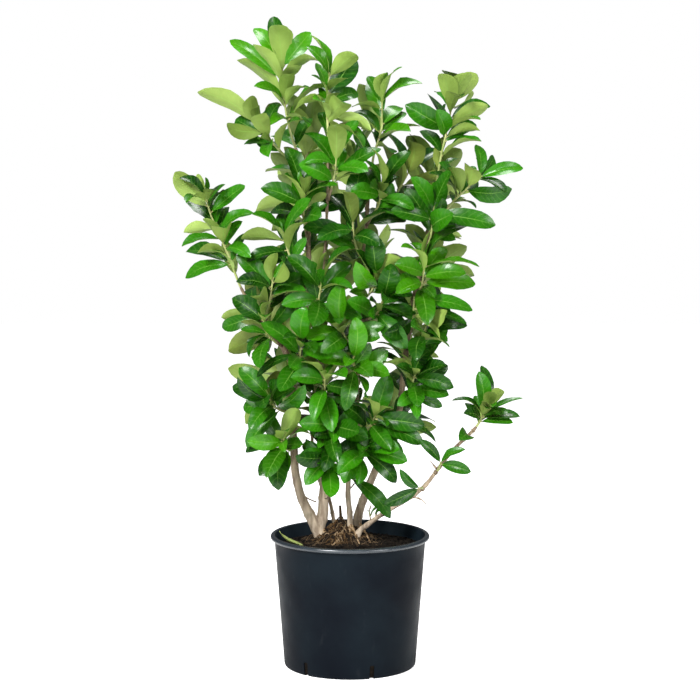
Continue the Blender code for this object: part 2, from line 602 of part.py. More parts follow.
def soil_height(x, y):
    """The height of the compost's surface, mound included."""
    top = POT_HEIGHT - SOIL_DROP
    level = top + SOIL_CROWN * max(0.0, 1 - math.hypot(x, y) / soil_radius(top))
    reach = ((x - MOUND_CENTRE[0]) / MOUND_SIZE[0])**2 + ((y - MOUND_CENTRE[1]) / MOUND_SIZE[1])**2
    if reach < 1:
        level = max(level, top + MOUND_SIZE[2] * math.sqrt(1 - reach))
    return level


def make_soil(collection):
    """The compost that fills the pot, with its mound and a plain blind hole for each stem."""
    top = POT_HEIGHT - SOIL_DROP
    floor = POT_FLOOR + CLEARANCE
    profile = [
        (0.0, top + SOIL_CROWN),
        (soil_radius(top) * SOIL_BREAK_OUT, top + SOIL_CROWN * SOIL_BREAK_UP),
        (soil_radius(top), top),
        (soil_radius(floor), floor),
        (0.0, floor),
    ]
    soil = turned("compost", profile, collection)
    bpy.ops.mesh.primitive_uv_sphere_add(segments=MOUND_SEGMENTS, ring_count=MOUND_RINGS, radius=1)
    mound = bpy.context.object
    mound.scale = MOUND_SIZE
    mound.location = (*MOUND_CENTRE, top)
    bpy.context.view_layer.update()
    fuse(soil, [mound])
    holes = []
    for trunks in WOOD.values():
        base_radius, _, route = trunks[0]
        x, y, z = route[0]
        depth_to = z * MM - CLEARANCE
        height = POT_HEIGHT - depth_to
        bpy.ops.mesh.primitive_cylinder_add(vertices=HOLE_SIDES, depth=height,
                                            radius=base_radius * MM + HOLE_CLEARANCE)
        hole = bpy.context.object
        hole.location = (x * MM, y * MM, depth_to + height / 2)
        holes.append(hole)
    bpy.context.view_layer.update()
    fuse(soil, holes, "DIFFERENCE")
    return soil


def split_route(route, share):
    """The route cut in two at that share, each side straight for a short run along one direction, and
    with half the clearance taken off each end. A short lower stretch is straight all the way."""
    cut = point_at(route, share)
    along = direction_at(route, share)
    lengths = route_lengths(route)
    place = share * lengths[-1]
    first = route[lengths < place - JOINT_RUN]
    last = route[lengths > place + JOINT_RUN]
    if len(first) == 1:
        along = (cut - first[0]) / numpy.linalg.norm(cut - first[0])
    gap = along * CLEARANCE / 2
    bend = [cut - along * JOINT_RUN] if len(first) > 1 else []
    lower = numpy.vstack((first, *bend, cut - gap))
    upper = numpy.vstack((cut + gap, cut + along * JOINT_RUN, last))
    return lower, upper


def taper(route, first, last):
    """Radii that go evenly from first to last along the route."""
    lengths = route_lengths(route)
    return first + (last - first) * lengths / lengths[-1]


def shoot_routes(shoot):
    """The brown and the green stretch of a shoot's route, in metres."""
    return split_route(numpy.array(shoot.route) * MM, shoot.brown)


def make_wood(name, collection):
    """A woody stem: its trunks and the brown twigs of its shoots, fused."""
    tubes = []
    for index, (first, last, points) in enumerate(WOOD[name]):
        route = numpy.array(points) * MM
        radii = taper(route, first * MM, last * MM)
        if index == 0:
            radii[1] = radii[0]
        tubes.append(make_tube(name, route, radii, TRUNK_ROUNDING, collection))
    for shoot in SHOOTS:
        if shoot.wood == name:
            lower, _ = shoot_routes(shoot)
            radii = taper(lower, TWIG_RADIUS, SHOOT_RADIUS)
            tubes.append(make_tube(name, lower, radii, TWIG_ROUNDING, collection))
    fuse(tubes[0], tubes[1:])
    return tubes[0]


def half_width(share, width):
    """Half the blade's width at a share of the leaf's length: the petiole, then a long oval that is
    widest just past its middle and ends in a short point."""
    blade = max(0.0, (share - BLADE_START) / (1 - BLADE_START))
    bow = 1 - (2 * blade**BLADE_SKEW - 1)**2
    return max(PETIOLE_HALF_WIDTH, width / 2 * max(0.0, bow)**BLADE_FULLNESS)


def leaf_faces(rings, corners):
    """The blade's triangles: the diagonals run alike on its left and right."""
    tip = 1 + corners * rings
    faces = []
    for side in range(corners):
        following = (side + 1) % corners
        faces.append((0, 1 + following, 1 + side))
        faces.append((tip, tip - corners + side, tip - corners + following))
        for ring in range(rings - 1):
            near = 1 + corners * ring
            far = near + corners
            if side % 2 == 0:
                faces.append((near + side, near + following, far + side))
                faces.append((near + following, far + following, far + side))
            else:
                faces.append((near + side, near + following, far + following))
                faces.append((near + side, far + following, far + side))
    return faces


def leaf_shape(leaf, grow=0.0, first_ring=0):
    """The blade's points and triangles: a base point, rings of three points (an edge, the other edge
    and the midrib's keel under them) and the tip. The midrib arches towards the upper side. A grown
    leaf, for testing the room round it, has a fourth point on each ring, over the middle."""
    root, reach, normal, width, arch = leaf
    length = float(numpy.linalg.norm(reach))
    across = numpy.cross(normal, reach / length)
    places = RING_PLACES if length > SMALL_LEAF else SMALL_RING_PLACES

    def midrib(share):
        return root + reach * share + normal * (length * arch * 4 * share * (1 - share))

    points = [midrib(places[first_ring] / 2 if first_ring else 0.0)]
    for share in places[first_ring:]:
        half = half_width(share, width)
        thick = BLADE_THICKNESS if half > PETIOLE_HALF_WIDTH else PETIOLE_THICKNESS
        middle = midrib(share) + normal * (thick / 2)
        points.append(middle + across * (half + grow))
        if grow:
            points.append(middle + normal * grow)
        points.append(middle - across * (half + grow))
        points.append(middle - normal * (thick + grow))
    points.append(midrib(1.0) + reach / length * grow)
    return numpy.array(points), leaf_faces(len(places) - first_ring, 4 if grow else 3)


def turn_about(vector, axis, degrees):
    """The vector turned about the axis."""
    angle = math.radians(degrees)
    return (vector * math.cos(angle) + numpy.cross(axis, vector) * math.sin(angle)
            + axis * numpy.dot(axis, vector) * (1 - math.cos(angle)))


def stem_share(place):
    """The share of the green stem's length that a leaf's place stands for."""
    return STEM_FIRST_LEAF + (STEM_LAST_LEAF - STEM_FIRST_LEAF) * place


def leaf_from(route, place, reach, width, facing, arch):
    """A leaf's root, reach, upper side's direction, width and arch. The upper side faces the stem's
    tip side, and is turned towards the front or the back as asked."""
    root = point_at(route, stem_share(place))
    axis = direction_at(route, stem_share(place))
    way = reach / numpy.linalg.norm(reach)
    normal = axis - way * numpy.dot(axis, way)
    normal = normal / numpy.linalg.norm(normal)
    front = numpy.array((0.0, -1.0, 0.0))
    front = front - way * numpy.dot(front, way)
    turned_normal = normal * (1 - abs(facing)) + front * facing
    size = numpy.linalg.norm(turned_normal)
    if size > LEAST_FACING:
        normal = turned_normal / size
    return root, reach, normal, width, arch


def wanted_leaves(shoot, route, number):
    """The shoot's leaves as they are wanted: its own first, then those of the spiral rule."""
    draw = random.Random(number)
    wanted = []
    for place, right, back, up, width, facing in shoot.leaves:
        reach = numpy.array((right, back, up)) * MM
        wanted.append((place, reach, width * MM, facing, draw.uniform(*ARCH_RANGE)))
    turn = draw.uniform(0, 360)
    for index in range(shoot.more):
        place = (index + 0.5) / shoot.more
        axis = direction_at(route, place)
        pitch = PITCH_AT_FOOT + (PITCH_AT_TIP - PITCH_AT_FOOT) * place
        pitch = math.radians(pitch + draw.uniform(-PITCH_SPREAD, PITCH_SPREAD))
        side = numpy.cross(axis, (0.0, 0.0, 1.0)) + numpy.array(SIDE_NUDGE)
        side = side / numpy.linalg.norm(side)
        around = turn + index * GOLDEN_ANGLE + draw.uniform(-TURN_SPREAD, TURN_SPREAD)
        root = point_at(route, place)
        way = axis * math.cos(pitch) + turn_about(side, axis, around) * math.sin(pitch)
        way = way + numpy.array((0.0, 0.0, LIFT_SLOPE * (root[2] - LEVEL_HEIGHT)))
        way = way / numpy.linalg.norm(way)
        reach = way * shoot.length * MM * draw.uniform(*SPIRAL_LENGTH)
        width = shoot.length * MM * draw.uniform(*SPIRAL_WIDTH)
        outwards = max(-1.0, min(1.0, (MIDDLE_DEPTH - root[1]) / OUTER_DEPTH))
        facing = outwards * draw.uniform(*SPIRAL_FACING)
        wanted.append((place, reach, width, facing, draw.uniform(*ARCH_RANGE)))
    return wanted


class Space:
    """What already stands in the plant, to keep new leaves clear of it."""

    def __init__(self):
        self.lows = []
        self.highs = []
        self.trees = []
        self.owners = []

    def add(self, owner, points, faces):
        self.lows.append(points.min(axis=0))
        self.highs.append(points.max(axis=0))
        self.trees.append(BVHTree.FromPolygons([Vector(point) for point in points], faces))
        self.owners.append(owner)

    def add_object(self, owner, thing):
        thing.data.calc_loop_triangles()
        points = numpy.array([vertex.co for vertex in thing.data.vertices])
        self.add(owner, points, [tuple(face.vertices) for face in thing.data.loop_triangles])

    def is_free(self, owner, whole, blade):
        """Whether the leaf clears everything: its blade alone counts against its own shoot."""
        lows = numpy.array(self.lows)
        highs = numpy.array(self.highs)
        points, faces = whole
        near = numpy.all((lows <= points.max(axis=0)) & (highs >= points.min(axis=0)), axis=1)
        trees = {}
        for index in numpy.flatnonzero(near):
            own = self.owners[index] == owner
            if own not in trees:
                shape, sides = blade if own else whole
                trees[own] = BVHTree.FromPolygons([Vector(point) for point in shape], sides)
            if trees[own].overlap(self.trees[index]):
                return False
        return True


def place_leaf(space, name, route, leaf):
    """The leaf in the first of its turned or smaller forms that is clear of all else, or None."""
    place, reach, width, facing, arch = leaf
    axis = direction_at(route, stem_share(place))
    for shrink in SHRINKS:
        for turn in TURNS:
            tried = leaf_from(route, place, turn_about(reach * shrink, axis, turn), width * shrink,
                              facing, arch)
            whole = leaf_shape(tried, GROWTH)
            blade = leaf_shape(tried, GROWTH, FIRST_BLADE_RING)
            if space.is_free(name, whole, blade):
                shape = leaf_shape(tried)
                space.add(name, *shape)
                return shape
    return None


def make_leaf(name, points, faces, collection):
    """A leaf's object."""
    mesh = bpy.data.meshes.new(name)
    mesh.from_pydata([tuple(point) for point in points], [], faces)
    return add_object(name, mesh, collection)


def make_shoots(space, collection):
    """Every leafy shoot: the green stems first, so that leaves keep clear of all of them."""
    stems = []
    for shoot in SHOOTS:
        _, upper = shoot_routes(shoot)
        radii = taper(upper, SHOOT_RADIUS, SHOOT_TIP_RADIUS)
        stem = make_tube(shoot.name, upper, radii, TWIG_ROUNDING, collection)
        space.add_object(shoot.name, stem)
        stems.append((stem, upper))
    wanted = [wanted_leaves(shoot, upper, number)
              for number, (shoot, (_, upper)) in enumerate(zip(SHOOTS, stems))]
    placed = [[] for _ in SHOOTS]
    for rank in range(max(len(leaves) for leaves in wanted)):
        for number, (shoot, (_, upper)) in enumerate(zip(SHOOTS, stems)):
            if rank < len(wanted[number]):
                leaf = place_leaf(space, shoot.name, upper, wanted[number][rank])
                if leaf:
                    placed[number].append(make_leaf(shoot.name, *leaf, collection))
    for (stem, _), leaves in zip(stems, placed):
        fuse(stem, leaves)
    return [stem for stem, _ in stems]


def make_fallen_leaf(collection):
    """The narrow pale leaf that lies on the compost."""
    start = numpy.array((*FALLEN_FROM, soil_height(*FALLEN_FROM) + FALLEN_LIFT))
    end = numpy.array((*FALLEN_TO, soil_height(*FALLEN_TO) + FALLEN_LIFT))
    up = numpy.array((0.0, 0.0, 1.0))
    reach = end - start
    way = reach / numpy.linalg.norm(reach)
    normal = up - way * numpy.dot(up, way)
    leaf = (start, reach, normal / numpy.linalg.norm(normal), FALLEN_WIDTH, FALLEN_ARCH)
    return make_leaf("fallen_leaf", *leaf_shape(leaf), collection)


def main():
    clear_scene()
    plant = make_collection("potted_cherry_laurel")
    materials = {name: make_material(name) for name in MATERIALS}
    space = Space()
    pot = make_pot(plant)
    soil = make_soil(plant)
    woods = [make_wood(name, plant) for name in WOOD]
    fallen = make_fallen_leaf(plant)
    for thing in (pot, soil, fallen, *woods):
        space.add_object(thing.name, thing)
    shoots = make_shoots(space, plant)
    pot.data.materials.append(materials["pot_plastic"])
    soil.data.materials.append(materials["compost"])
    fallen.data.materials.append(materials["leaf_pale"])
    for wood in woods:
        wood.data.materials.append(materials["bark"])
    for shoot, stem in zip(SHOOTS, shoots):
        stem.data.materials.append(materials[shoot.tone])
    for thing in plant.objects:
        triangulate(thing)
    for thing in (pot, soil):
        thing.data.shade_smooth()
        thing.data.set_sharp_from_angle(angle=math.radians(SHARP_ANGLE))


main()
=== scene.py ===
# A young cherry laurel in a nursery pot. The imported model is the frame: most pieces made here stand
# where one of its solids does, and the rest is added between them. Lengths are in metres, and in
# millimetres in the plant's tables.
import math
import random

import bpy
import numpy as np
from mathutils.bvhtree import BVHTree
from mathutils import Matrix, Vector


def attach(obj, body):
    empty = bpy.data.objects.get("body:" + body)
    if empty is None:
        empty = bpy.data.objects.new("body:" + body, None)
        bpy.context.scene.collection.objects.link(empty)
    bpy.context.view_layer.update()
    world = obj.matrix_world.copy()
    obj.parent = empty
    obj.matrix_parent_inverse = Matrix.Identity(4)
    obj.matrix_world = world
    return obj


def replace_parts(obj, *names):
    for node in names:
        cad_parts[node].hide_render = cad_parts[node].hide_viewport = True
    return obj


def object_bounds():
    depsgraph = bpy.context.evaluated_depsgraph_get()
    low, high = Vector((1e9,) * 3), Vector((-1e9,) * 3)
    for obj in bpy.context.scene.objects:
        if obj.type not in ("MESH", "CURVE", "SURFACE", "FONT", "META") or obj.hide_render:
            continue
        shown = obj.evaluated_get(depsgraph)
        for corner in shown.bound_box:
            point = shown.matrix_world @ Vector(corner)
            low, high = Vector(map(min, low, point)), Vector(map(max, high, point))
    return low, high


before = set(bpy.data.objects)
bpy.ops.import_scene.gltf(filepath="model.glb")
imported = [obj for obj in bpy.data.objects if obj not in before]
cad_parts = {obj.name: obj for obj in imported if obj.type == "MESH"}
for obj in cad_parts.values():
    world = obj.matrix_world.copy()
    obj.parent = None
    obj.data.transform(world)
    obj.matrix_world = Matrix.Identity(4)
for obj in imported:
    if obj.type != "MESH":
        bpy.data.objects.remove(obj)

cadBox = [list(corner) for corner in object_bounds()]
mm = 0.001
up = np.array((0.0, 0.0, 1.0))
toViewer = np.array((0.0, -1.0, 0.0))


# A shape is a closed tube of rings, with the surface's own coordinates and a tone from 0 to 1.
# Every ring runs counter-clockwise as seen from the end that the tube goes towards.

def tubeShape(rings, across, along, tone=0.5, slots=0):
    rows, columns = rings.shape[:2]
    i, j = np.meshgrid(np.arange(rows - 1), np.arange(columns), indexing="ij")
    near = i * columns + j
    beside = i * columns + (j + 1) % columns
    quads = np.stack((near, beside, beside + columns, near + columns), axis=-1).reshape(-1, 4)
    j = np.arange(columns)
    beside = (j + 1) % columns
    last = (rows - 1) * columns
    middle = rows * columns
    closed = np.vstack((np.stack((np.full(columns, middle), beside, j), axis=-1),
                        np.stack((np.full(columns, middle + 1), last + j, last + beside), axis=-1)))
    points = np.vstack((rings.reshape(-1, 3), rings[0].mean(axis=0), rings[-1].mean(axis=0)))
    spread = np.stack((np.broadcast_to(across, (rows, columns)),
                       np.broadcast_to(along, (rows, columns))), axis=-1)
    spread = np.vstack((spread.reshape(-1, 2), spread[0].mean(axis=0), spread[-1].mean(axis=0)))
    slots = np.broadcast_to(slots, (rows - 1, columns)).reshape(-1)
    slots = np.concatenate((slots, np.full(len(closed), slots[0])))
    return {"points": points, "quads": quads, "triangles": closed, "spread": spread,
            "tone": np.full(len(points), tone), "slots": slots}


def makePiece(name, shapes, materials, sharpAngle=None):
    # all the shapes as one mesh object that rides on the part
    firsts = np.cumsum([0] + [len(shape["points"]) for shape in shapes])
    faces = []
    for shape, first in zip(shapes, firsts):
        faces += (shape["quads"] + first).tolist() + (shape["triangles"] + first).tolist()
    points, spread, tones, slots = [np.concatenate([shape[key] for shape in shapes])
                                    for key in ("points", "spread", "tone", "slots")]
    mesh = bpy.data.meshes.new(name)
    mesh.from_pydata(points.tolist(), [], faces)
    for material in materials:
        mesh.materials.append(material)
    mesh.polygons.foreach_set("material_index", slots.astype(np.int32))
    corners = np.empty(len(mesh.loops), dtype=np.int32)
    mesh.loops.foreach_get("vertex_index", corners)
    mesh.uv_layers.new(name="spread").data.foreach_set("uv", spread[corners].ravel())
    mesh.attributes.new("tone", "FLOAT", "POINT").data.foreach_set("value", tones)
    mesh.shade_smooth()
    if sharpAngle:
        mesh.set_sharp_from_angle(angle=math.radians(sharpAngle))
    piece = bpy.data.objects.new(name, mesh)
    bpy.context.scene.collection.objects.link(piece)
    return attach(piece, "root")


def metres(table):
    return np.array(table, dtype=float) * mm


def unit(vectors):
    return vectors / np.linalg.norm(vectors, axis=-1, keepdims=True)


def squareTo(way, vector):
    # the part of the vector that is square to the way
    return vector - way * np.dot(vector, way)


def turnAbout(vector, axis, degrees):
    angle = math.radians(degrees)
    return (vector * math.cos(angle) + np.cross(axis, vector) * math.sin(angle)
            + axis * np.dot(axis, vector) * (1 - math.cos(angle)))


def circleAngles(count):
    return np.linspace(0, math.tau, count, endpoint=False)


def routeLengths(route):
    return np.concatenate(((0.0,), np.cumsum(np.linalg.norm(np.diff(route, axis=0), axis=1))))


def pointAt(route, share):
    lengths = routeLengths(route)
    far = np.multiply(share, lengths[-1])
    return np.stack([np.interp(far, lengths, route[:, k]) for k in range(3)], axis=-1)


def directionAt(route, share, window=0.04):
    return unit(pointAt(route, min(share + window, 1.0)) - pointAt(route, max(share - window, 0.0)))


def eased(route, step, rounds=3):
    # the route at even steps, its corners rounded by moving each point towards its neighbours' middle
    count = max(4, int(routeLengths(route)[-1] / step) + 1)
    points = pointAt(route, np.linspace(0, 1, count))
    for turn in range(rounds):
        points[1:-1] = points[1:-1] / 2 + (points[:-2] + points[2:]) / 4
    return points


def stalk(route, radii, columns, tone=0.5, slots=0, lobes=None):
    # circles of the radii, square to the route; lobes gives each point a factor on its radius
    way = unit(np.gradient(route, axis=0))
    start = np.eye(3)[np.argmin(np.abs(way.mean(axis=0)))]
    side = unit(start - way * (way @ start)[:, None])
    other = np.cross(way, side)
    angles = circleAngles(columns)
    reach = np.asarray(radii)[:, None] * (1 if lobes is None else lobes(angles))
    rings = (route[:, None] + side[:, None] * (reach * np.cos(angles))[..., None]
             + other[:, None] * (reach * np.sin(angles))[..., None])
    return tubeShape(rings, angles / math.tau, routeLengths(route)[:, None], tone, slots)


# The looks of the surfaces: small helpers for the nodes, then one function for each finish.

def newFinish(name, roughness, specular=0.5, colour=(0.5, 0.5, 0.5)):
    material = bpy.data.materials.new(name)
    material.use_nodes = True
    tree = material.node_tree
    shader = tree.nodes["Principled BSDF"]
    shader.inputs["Base Color"].default_value = (*colour, 1)
    shader.inputs["Roughness"].default_value = roughness
    shader.inputs["Specular IOR Level"].default_value = specular
    return material, tree, shader


def feed(tree, socket, value):
    if isinstance(value, bpy.types.NodeSocket):
        tree.links.new(value, socket)
    else:
        socket.default_value = (*value, 1) if isinstance(value, tuple) else value


def maths(tree, operation, *values):
    node = tree.nodes.new("ShaderNodeMath")
    node.operation = operation
    for socket, value in zip(node.inputs, values):
        feed(tree, socket, value)
    return node.outputs[0]


def times(tree, value, factor):
    return maths(tree, "MULTIPLY", value, factor)


def addedTimes(tree, value, factor, base):
    return maths(tree, "MULTIPLY_ADD", value, factor, base)


def between(tree, value, low, high, lowTo=0.0, highTo=1.0):
    # a smooth step of the value from low to high
    node = tree.nodes.new("ShaderNodeMapRange")
    node.interpolation_type = "SMOOTHSTEP"
    for socket, given in zip(node.inputs, (value, low, high, lowTo, highTo)):
        feed(tree, socket, given)
    return node.outputs[0]


def blended(tree, share, first, second):
    node = tree.nodes.new("ShaderNodeMix")
    node.data_type = "RGBA"
    feed(tree, node.inputs[0], share)
    feed(tree, node.inputs[6], first)
    feed(tree, node.inputs[7], second)
    return node.outputs[2]


def cloudy(tree, scale, detail=3.0, stretch=(1, 1, 1)):
    # noise in the object's own space
    place = tree.nodes.new("ShaderNodeTexCoord")
    sizes = tree.nodes.new("ShaderNodeMapping")
    sizes.inputs["Scale"].default_value = stretch
    tree.links.new(place.outputs["Object"], sizes.inputs["Vector"])
    noise = tree.nodes.new("ShaderNodeTexNoise")
    noise.inputs["Scale"].default_value = scale
    noise.inputs["Detail"].default_value = detail
    tree.links.new(sizes.outputs["Vector"], noise.inputs["Vector"])
    return noise.outputs["Fac"]


def partsOf(tree, vector):
    node = tree.nodes.new("ShaderNodeSeparateXYZ")
    feed(tree, node.inputs[0], vector)
    return node.outputs


def spreadOf(tree):
    # the surface's own coordinates: across and along
    place = tree.nodes.new("ShaderNodeUVMap")
    place.uv_map = "spread"
    return partsOf(tree, place.outputs["UV"])[:2]


def toneOf(tree):
    node = tree.nodes.new("ShaderNodeAttribute")
    node.attribute_name = "tone"
    return node.outputs["Fac"]


def raised(tree, shader, height, distance, strength=1.0):
    bump = tree.nodes.new("ShaderNodeBump")
    bump.inputs["Distance"].default_value = distance
    bump.inputs["Strength"].default_value = strength
    feed(tree, bump.inputs["Height"], height)
    tree.links.new(bump.outputs["Normal"], shader.inputs["Normal"])


# Each tone of leaf has a dark and a light colour, above and below.
leafLook = {
    "veins": 9.0, "veinLean": 1.5, "veinWidth": 0.12, "midribWidth": 0.026, "petioleEnd": 0.075,
    "upper": {"leaf_green": ((0.001, 0.024, 0.000), (0.034, 0.222, 0.002)),
              "leaf_bright": ((0.002, 0.042, 0.000), (0.056, 0.270, 0.001)),
              "leaf_dark": ((0.001, 0.018, 0.000), (0.010, 0.095, 0.001))},
    "under": {"leaf_green": ((0.085, 0.150, 0.012), (0.310, 0.440, 0.085)),
              "leaf_bright": ((0.150, 0.255, 0.026), (0.350, 0.500, 0.105)),
              "leaf_dark": ((0.055, 0.095, 0.008), (0.230, 0.310, 0.045))},
    "rib": (0.240, 0.470, 0.080), "petiole": (0.420, 0.400, 0.160),
    "veinShow": {"upper": 0.13, "under": 0.12}, "ribShow": 0.60,
    "upperRoughness": (0.24, 0.34), "upperSpecular": 0.32, "underRoughness": 0.55,
    "uneven": {"upper": 7.0, "under": 3.0}, "bump": {"upper": 0.00006, "under": 0.0002},
}


def veinShares(tree):
    # The midrib is a band round the middle. The side veins are the lines where
    # along * veins - lean * (distance from the middle)^1.4 is whole, and fade at the edge.
    across, along = spreadOf(tree)
    out = times(tree, maths(tree, "ABSOLUTE", maths(tree, "SUBTRACT", across, 0.5)), 2.0)
    slant = times(tree, maths(tree, "POWER", out, 1.4), leafLook["veinLean"])
    phase = maths(tree, "SUBTRACT", times(tree, along, leafLook["veins"]), slant)
    off = maths(tree, "PINGPONG", phase, 0.5)
    line = between(tree, off, 0.0, leafLook["veinWidth"], 1.0, 0.0)
    line = maths(tree, "MULTIPLY", line, between(tree, out, 0.72, 0.98, 1.0, 0.0))
    rib = between(tree, out, leafLook["midribWidth"] * 0.4, leafLook["midribWidth"] * 1.6, 1.0, 0.0)
    rib = maths(tree, "MULTIPLY", rib, between(tree, along, 0.5, 1.0, 1.0, 0.3))
    petiole = between(tree, along, leafLook["petioleEnd"] * 0.8, leafLook["petioleEnd"] * 1.3, 1.0, 0.0)
    return line, rib, petiole, off


def colourLeaf(tree, shader, side, tone, mottle, line, rib, petiole):
    # from dark to light by the mottle, then the side veins, the midrib and the petiole
    colour = blended(tree, mottle, *leafLook[side][tone])
    colour = blended(tree, times(tree, line, leafLook["veinShow"][side]), colour, leafLook["rib"])
    colour = blended(tree, times(tree, rib, leafLook["ribShow"]), colour, leafLook["rib"])
    feed(tree, shader.inputs["Base Color"], blended(tree, petiole, colour, leafLook["petiole"]))


def upperFinish(tone):
    # swollen between the side veins, sunk along the midrib, and a little uneven
    low, high = leafLook["upperRoughness"]
    material, tree, shader = newFinish(tone + "_upper", low, leafLook["upperSpecular"])
    line, rib, petiole, off = veinShares(tree)
    mottle = addedTimes(tree, cloudy(tree, 40.0), 0.5, times(tree, toneOf(tree), 0.75))
    colourLeaf(tree, shader, "upper", tone, maths(tree, "SUBTRACT", mottle, 0.18), line, rib, petiole)
    feed(tree, shader.inputs["Roughness"], between(tree, cloudy(tree, 60.0, 1.0), 0.3, 0.7, low, high))
    height = maths(tree, "SUBTRACT", between(tree, off, 0.0, 0.5), rib)
    height = addedTimes(tree, cloudy(tree, 38.0, 0.0), leafLook["uneven"]["upper"], height)
    raised(tree, shader, height, leafLook["bump"]["upper"])
    return material


def underFinish(tone):
    # dull, with raised veins
    material, tree, shader = newFinish(tone + "_under", leafLook["underRoughness"])
    line, rib, petiole, _ = veinShares(tree)
    mottle = addedTimes(tree, cloudy(tree, 60.0), 0.4, times(tree, toneOf(tree), 0.7))
    colourLeaf(tree, shader, "under", tone, mottle, line, rib, petiole)
    height = maths(tree, "MAXIMUM", line, rib)
    height = addedTimes(tree, cloudy(tree, 60.0, 0.0), leafLook["uneven"]["under"], height)
    raised(tree, shader, height, leafLook["bump"]["under"])
    return material


shootLook = {"deep": (0.270, 0.340, 0.085), "pale": (0.460, 0.500, 0.190), "dots": (0.420, 0.380, 0.220),
             "roughness": 0.5, "bump": 0.0004}


def shootFinish():
    # young green bark, paler in patches, with fine dots
    material, tree, shader = newFinish("young_stem", shootLook["roughness"])
    patchy = between(tree, cloudy(tree, 25.0), 0.35, 0.65)
    colour = blended(tree, patchy, shootLook["deep"], shootLook["pale"])
    dots = between(tree, cloudy(tree, 700.0, 1.0), 0.62, 0.72)
    feed(tree, shader.inputs["Base Color"], blended(tree, dots, colour, shootLook["dots"]))
    raised(tree, shader, cloudy(tree, 500.0), shootLook["bump"])
    return material


barkLook = {"old": ((0.300, 0.225, 0.160), (0.680, 0.560, 0.420)),
            "young": ((0.130, 0.085, 0.050), (0.330, 0.250, 0.150)),
            "browning": (0.31, 0.43), "dots": (0.560, 0.480, 0.370), "dotsShow": 0.6,
            "moss": (0.170, 0.170, 0.080), "mossShow": 0.35, "roughness": 0.8, "bump": 0.0009}


def barkFinish():
    # Grey beige at the foot and browner above. The tone is 0 at the foot and 1 at a green shoot,
    # and the height adds to it where the browning runs.
    material, tree, shader = newFinish("bark", barkLook["roughness"])
    streaks = between(tree, cloudy(tree, 120.0, 5.0, (1, 1, 0.16)), 0.32, 0.68)
    old = blended(tree, streaks, *barkLook["old"])
    young = blended(tree, streaks, *barkLook["young"])
    height = partsOf(tree, tree.nodes.new("ShaderNodeTexCoord").outputs["Object"])[2]
    age = addedTimes(tree, between(tree, height, *barkLook["browning"]), 0.5, toneOf(tree))
    colour = blended(tree, age, old, young)
    dots = between(tree, cloudy(tree, 420.0, 2.0, (1, 1, 0.7)), 0.60, 0.70)
    colour = blended(tree, times(tree, dots, barkLook["dotsShow"]), colour, barkLook["dots"])
    moss = between(tree, cloudy(tree, 30.0), 0.58, 0.75)
    colour = blended(tree, times(tree, moss, barkLook["mossShow"]), colour, barkLook["moss"])
    feed(tree, shader.inputs["Base Color"], colour)
    grain = addedTimes(tree, dots, 0.6, streaks)
    raised(tree, shader, addedTimes(tree, cloudy(tree, 900.0, 2.0), 0.4, grain), barkLook["bump"])
    return material


# the pot's finishes: roughness from and to, specular level, dark and light colour. The rim's and the
# inside's colours are paler than the wall's: on the rim a painted highlight, inside painted light
potLook = {"pot_plastic": ((0.36, 0.50), 0.06, (0.0028, 0.0045, 0.0080), (0.0060, 0.0105, 0.0150)),
           # the rim: paler colours, a painted highlight along the bead
           "pot_rim_painted_highlight": ((0.20, 0.30), 0.90, (0.012, 0.018, 0.025), (0.026, 0.036, 0.046)),
           # the inside: paler colours, painted light on the inner wall
           "pot_inside_painted_light": ((0.36, 0.50), 0.20, (0.006, 0.012, 0.018), (0.020, 0.032, 0.043))}
potWear = {"dust": (0.070, 0.075, 0.080), "dustShow": 0.10, "bump": 0.0001, "bumpStrength": 0.6}


def plasticFinish(name):
    roughness, specular, dark, light = potLook[name]
    material, tree, shader = newFinish(name, roughness[0], specular)
    colour = blended(tree, between(tree, cloudy(tree, 9.0, 4.0), 0.3, 0.75), dark, light)
    dust = between(tree, cloudy(tree, 60.0, 6.0, (1, 1, 0.35)), 0.60, 0.80)
    colour = blended(tree, times(tree, dust, potWear["dustShow"]), colour, potWear["dust"])
    feed(tree, shader.inputs["Base Color"], colour)
    feed(tree, shader.inputs["Roughness"], between(tree, cloudy(tree, 20.0, 5.0), 0.3, 0.7, *roughness))
    raised(tree, shader, cloudy(tree, 1500.0, 1.0), potWear["bump"], potWear["bumpStrength"])
    return material


compostLook = {"peat": ((0.0012, 0.0010, 0.0010), (0.0070, 0.0048, 0.0034)),
               "bark": ((0.100, 0.060, 0.032), (0.300, 0.210, 0.125)), "roughness": 0.95,
               "specular": 0.15, "bump": 0.0012}


def compostFinish():
    # The tone runs from dark peat to pale bark.
    material, tree, shader = newFinish("compost", compostLook["roughness"], compostLook["specular"])
    peat = blended(tree, between(tree, cloudy(tree, 220.0, 4.0), 0.35, 0.7), *compostLook["peat"])
    bark = blended(tree, cloudy(tree, 500.0, 2.0), *compostLook["bark"])
    feed(tree, shader.inputs["Base Color"], blended(tree, toneOf(tree), peat, bark))
    raised(tree, shader, cloudy(tree, 700.0, 4.0), compostLook["bump"])
    return material


rootLook = {"peat": (0.010, 0.007, 0.005), "fibre": ((0.060, 0.030, 0.012), (0.190, 0.110, 0.045)),
            "root": ((0.260, 0.165, 0.085), (0.560, 0.410, 0.250)), "roughness": 0.9, "specular": 0.2,
            "bump": 0.0008}


def rootFinish():
    # The tone runs from dark peat over rusty fibre to pale root.
    material, tree, shader = newFinish("roots", rootLook["roughness"], rootLook["specular"])
    patchy = between(tree, cloudy(tree, 260.0, 3.0), 0.35, 0.65)
    fibre = blended(tree, patchy, *rootLook["fibre"])
    root = blended(tree, patchy, *rootLook["root"])
    colour = blended(tree, between(tree, toneOf(tree), 0.0, 0.30), rootLook["peat"], fibre)
    colour = blended(tree, between(tree, toneOf(tree), 0.45, 1.0), colour, root)
    feed(tree, shader.inputs["Base Color"], colour)
    raised(tree, shader, cloudy(tree, 600.0, 3.0), rootLook["bump"])
    return material


